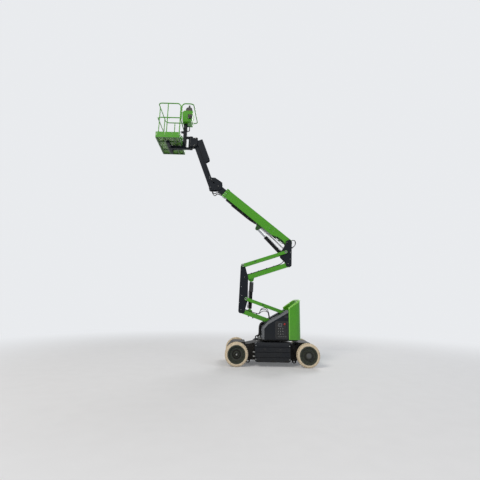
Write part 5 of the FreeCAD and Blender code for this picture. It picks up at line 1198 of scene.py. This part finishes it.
# the levers stand in the console's open well, below its roof
leverPlaces = [(2.66, y, 7.090) for y in (-0.10, 0.10)]
addPiece("lever_boots", scattered(boot, leverPlaces, upright90), blackPlastic, "platform")
addPiece("lever_grips", scattered(grip, leverPlaces, upright90), blackPlastic, "platform")
stopPlate = revolved([(0.036, 0), (0.036, 0.003), (0.033, 0.005)], 36)
stopButton = revolved([(0.014, 0.004), (0.014, 0.014), (0.0235, 0.016), (0.0255, 0.022), (0.0235, 0.029), (0.014, 0.034), (0.004, 0.035)], 36)
addPiece("upper_stop_plate", moved(stopPlate, (2.575, 0.13, 7.440), upright90), yellowPlastic, "platform")
addPiece("upper_stop_button", moved(stopButton, (2.575, 0.13, 7.440), upright90), redPlastic, "platform")
rockers = joined([moved(joined([block((-0.010, -0.006, 0.0), (0.010, 0.006, 0.004), 0.001), block((-0.007, -0.0045, 0.004), (0.007, 0.0045, 0.008), 0.0012)]),
                        (2.72, y, 7.4392)) for y in np.linspace(-0.15, 0.08, 8)])
addPiece("upper_rockers", rockers, greyEnamel, "platform")
socketBox = block((2.47, 0.1905, 7.16), (2.60, 0.228, 7.30), 0.006)
lid = block((2.478, 0.228, 7.195), (2.592, 0.240, 7.292), 0.004)
addPiece("outlet_box", joined([socketBox, lid]), blackPlastic, "platform")
boxScrews = scattered(revolved([(0.006, 0), (0.006, 0.002), (0.004, 0.0035)], 16), [(x, 0.2282, z) for x in (2.48, 2.59) for z in (7.17, 7.185)])
addPiece("outlet_box_screws", boxScrews, zincSteel, "platform")
manual = joined([block((2.50, -0.236, 7.12), (2.70, -0.1905, 7.33), 0.008), block((2.496, -0.240, 7.30), (2.704, -0.1905, 7.345), 0.006)])
addPiece("manual_box", manual, blackPlastic, "platform")
coverSeam = block((2.497, -0.0825, 7.4395), (2.703, 0.0825, 7.447), 0.002)
addPiece("lever_cover_seal", coverSeam, blackPlastic, "platform")
footSwitch = joined([block((2.86, -0.10, 6.325), (3.02, 0.02, 6.343), 0.004), block((2.872, -0.088, 6.343), (2.99, 0.008, 6.360), 0.004),
                     block((2.85, -0.106, 6.345), (3.0, -0.100, 6.425), 0.002), block((2.85, 0.020, 6.345), (3.0, 0.026, 6.425), 0.002),
                     block((2.85, -0.106, 6.419), (3.0, 0.026, 6.425), 0.002)])
addPiece("foot_switch", footSwitch, blackPlastic, "platform")
# yoke bolts, and the handle on the post
yokeBolts = [(2.485 + 0.045 * math.cos(a), 0.045 * math.sin(a), 6.6192) for a in np.arange(6) / 6 * turnFull]
addPiece("yoke_bolts", scattered(hexBolt(0.008), yokeBolts, axisTurn("x", math.pi / 2)), zincSteel, "platform")
handle = rounded([(2.640, 6.985), (2.560, 6.985), (2.560, 6.820), (2.640, 6.820)], 0.03, 8)
handle = [(2.640, 0.0, 6.985)] + [(x, 0.0, z) for x, z in handle if x < 2.62] + [(2.640, 0.0, 6.820)]
addPiece("post_handle", tubeAlong(handle, 0.014, 14), blackEnamel, "platform", 50)
print("upper controls", pieceCount)


# Camera, lamps, floor and backdrop

photoView = {
    "place": (1.03, 10.36, 1.62),
    "pitch": 13.79,          # degrees up
    "yaw": -0.71,            # degrees from looking straight at the machine's left side
    "roll": 1.20,
    "focal": 355.8,          # pixels, of a frame 480 wide
    "centreAbove": 26,       # pixels from the lens axis up to the middle of the frame
    "frame": 480,
    "sensor": 36.0,
}


def makeCamera(view):
    data = bpy.data.cameras.new("photo_camera")
    camera = bpy.data.objects.new("photo_camera", data)
    sceneObjects.link(camera)
    data.sensor_width = view["sensor"]
    data.lens = view["focal"] / view["frame"] * view["sensor"]
    data.shift_y = -view["centreAbove"] / view["frame"]
    data.clip_end = 200
    pitch, yaw, roll = (math.radians(view[key]) for key in ("pitch", "yaw", "roll"))
    level = np.array([math.sin(yaw), -math.cos(yaw), 0.0])
    right = np.array([-math.cos(yaw), -math.sin(yaw), 0.0])
    above = np.array([0.0, 0.0, 1.0])
    ahead = level * math.cos(pitch) + above * math.sin(pitch)
    top = above * math.cos(pitch) - level * math.sin(pitch)
    right, top = right * math.cos(roll) + top * math.sin(roll), top * math.cos(roll) - right * math.sin(roll)
    turned = Matrix([[right[i], top[i], -ahead[i]] for i in range(3)])
    camera.matrix_world = Matrix.Translation(view["place"]) @ turned.to_4x4()
    bpy.context.scene.camera = camera


makeCamera(photoView)

studio = {
    "floorSize": 60.0,
    "floorColour": "#E9EAEC",
    "floorGlow": 0.16,       # share of the backdrop's colour in the floor near the machine
    "floorFade": (5.0, 12.0),    # metres from the machine, where the floor begins to turn into the backdrop and where it has
    "worldColour": "#F2F4F7",
    "worldStrength": 0.30,
    "backdropStrength": 0.92,
    # name: place, aimed at, size in metres, power in watts, colour
    "lamps": {
        "key": ((14.0, 19.0, 20.0), (0.8, 0.0, 3.0), 8.0, 4100, "#FFF7EC"),
        "fill": ((-17.0, 13.0, 9.0), (0.5, 0.0, 3.0), 9.0, 800, "#EAF1FF"),
        "rim": ((-8.0, -18.0, 16.0), (0.5, 0.0, 3.5), 10.0, 2000, "#FFFFFF"),
    },
}


def seenRay(tree):
    # one where the camera, a mirror or a pane looks, nought for the light that falls on the machine
    path = addNode(tree, "ShaderNodeLightPath")
    mirror = addNode(tree, "ShaderNodeMath", {0: path.outputs["Is Glossy Ray"], 1: path.outputs["Is Transmission Ray"]},
                     operation="MAXIMUM")
    seen = addNode(tree, "ShaderNodeMath", {0: path.outputs["Is Camera Ray"], 1: mirror.outputs["Value"]}, operation="MAXIMUM")
    return seen.outputs["Value"]


def makeStudio(values):
    size = values["floorSize"] / 2
    mesh = bpy.data.meshes.new("studio_floor")
    mesh.from_pydata([(-size, -size, 0), (size, -size, 0), (size, size, 0), (-size, size, 0)], [], [(0, 1, 2, 3)])
    floor = bpy.data.objects.new("studio_floor", mesh)
    sceneObjects.link(floor)
    made, tree, shader = startMaterial("studio_floor")
    place = addNode(tree, "ShaderNodeTexCoord").outputs["Object"]
    grain = addNode(tree, "ShaderNodeTexNoise", {"Vector": place}, Scale=3.0, Detail=8.0)
    tone = addNode(tree, "ShaderNodeMix", {"Factor": grain.outputs["Fac"]}, data_type="RGBA",
                   i6=linearColour(values["floorColour"]), i7=linearColour("#E2E3E5"))
    tree.links.new(tone.outputs[2], shader.inputs["Base Color"])
    shader.inputs["Roughness"].default_value = 0.85
    # far out the floor glows in the backdrop's own colour, so no horizon shows
    away = addNode(tree, "ShaderNodeVectorMath", {0: place}, operation="LENGTH")
    fade = addNode(tree, "ShaderNodeMapRange", {"Value": away.outputs["Value"]}, interpolation_type="SMOOTHSTEP",
                   From_Min=values["floorFade"][0], From_Max=values["floorFade"][1], To_Min=values["floorGlow"])
    share = addNode(tree, "ShaderNodeMath", {0: fade.outputs["Result"], 1: seenRay(tree)}, operation="MULTIPLY")
    glow = addNode(tree, "ShaderNodeEmission", Color=linearColour(values["worldColour"]), Strength=values["backdropStrength"])
    both = addNode(tree, "ShaderNodeMixShader", {"Fac": share.outputs["Value"], 1: shader.outputs["BSDF"], 2: glow.outputs["Emission"]})
    tree.links.new(both.outputs["Shader"], tree.nodes["Material Output"].inputs["Surface"])
    mesh.materials.append(made)
    world = bpy.data.worlds.new("studio")
    bpy.context.scene.world = world
    world.use_nodes = True
    tree = world.node_tree
    backdrop = tree.nodes["Background"]
    backdrop.inputs["Color"].default_value = linearColour(values["worldColour"])
    strength = addNode(tree, "ShaderNodeMapRange", {"Value": seenRay(tree)}, To_Min=values["worldStrength"],
                       To_Max=values["backdropStrength"])
    tree.links.new(strength.outputs["Result"], backdrop.inputs["Strength"])
    for name, (place, aim, size, power, colour) in values["lamps"].items():
        data = bpy.data.lights.new(name, "AREA")
        data.size, data.energy, data.color = size, power, linearColour(colour)[:3]
        lamp = bpy.data.objects.new(name, data)
        lamp.location = place
        lamp.rotation_euler = (Vector(aim) - Vector(place)).to_track_quat("-Z", "Y").to_euler()
        sceneObjects.link(lamp)


makeStudio(studio)
bpy.context.scene.view_settings.view_transform = "Standard"
print("camera and studio")
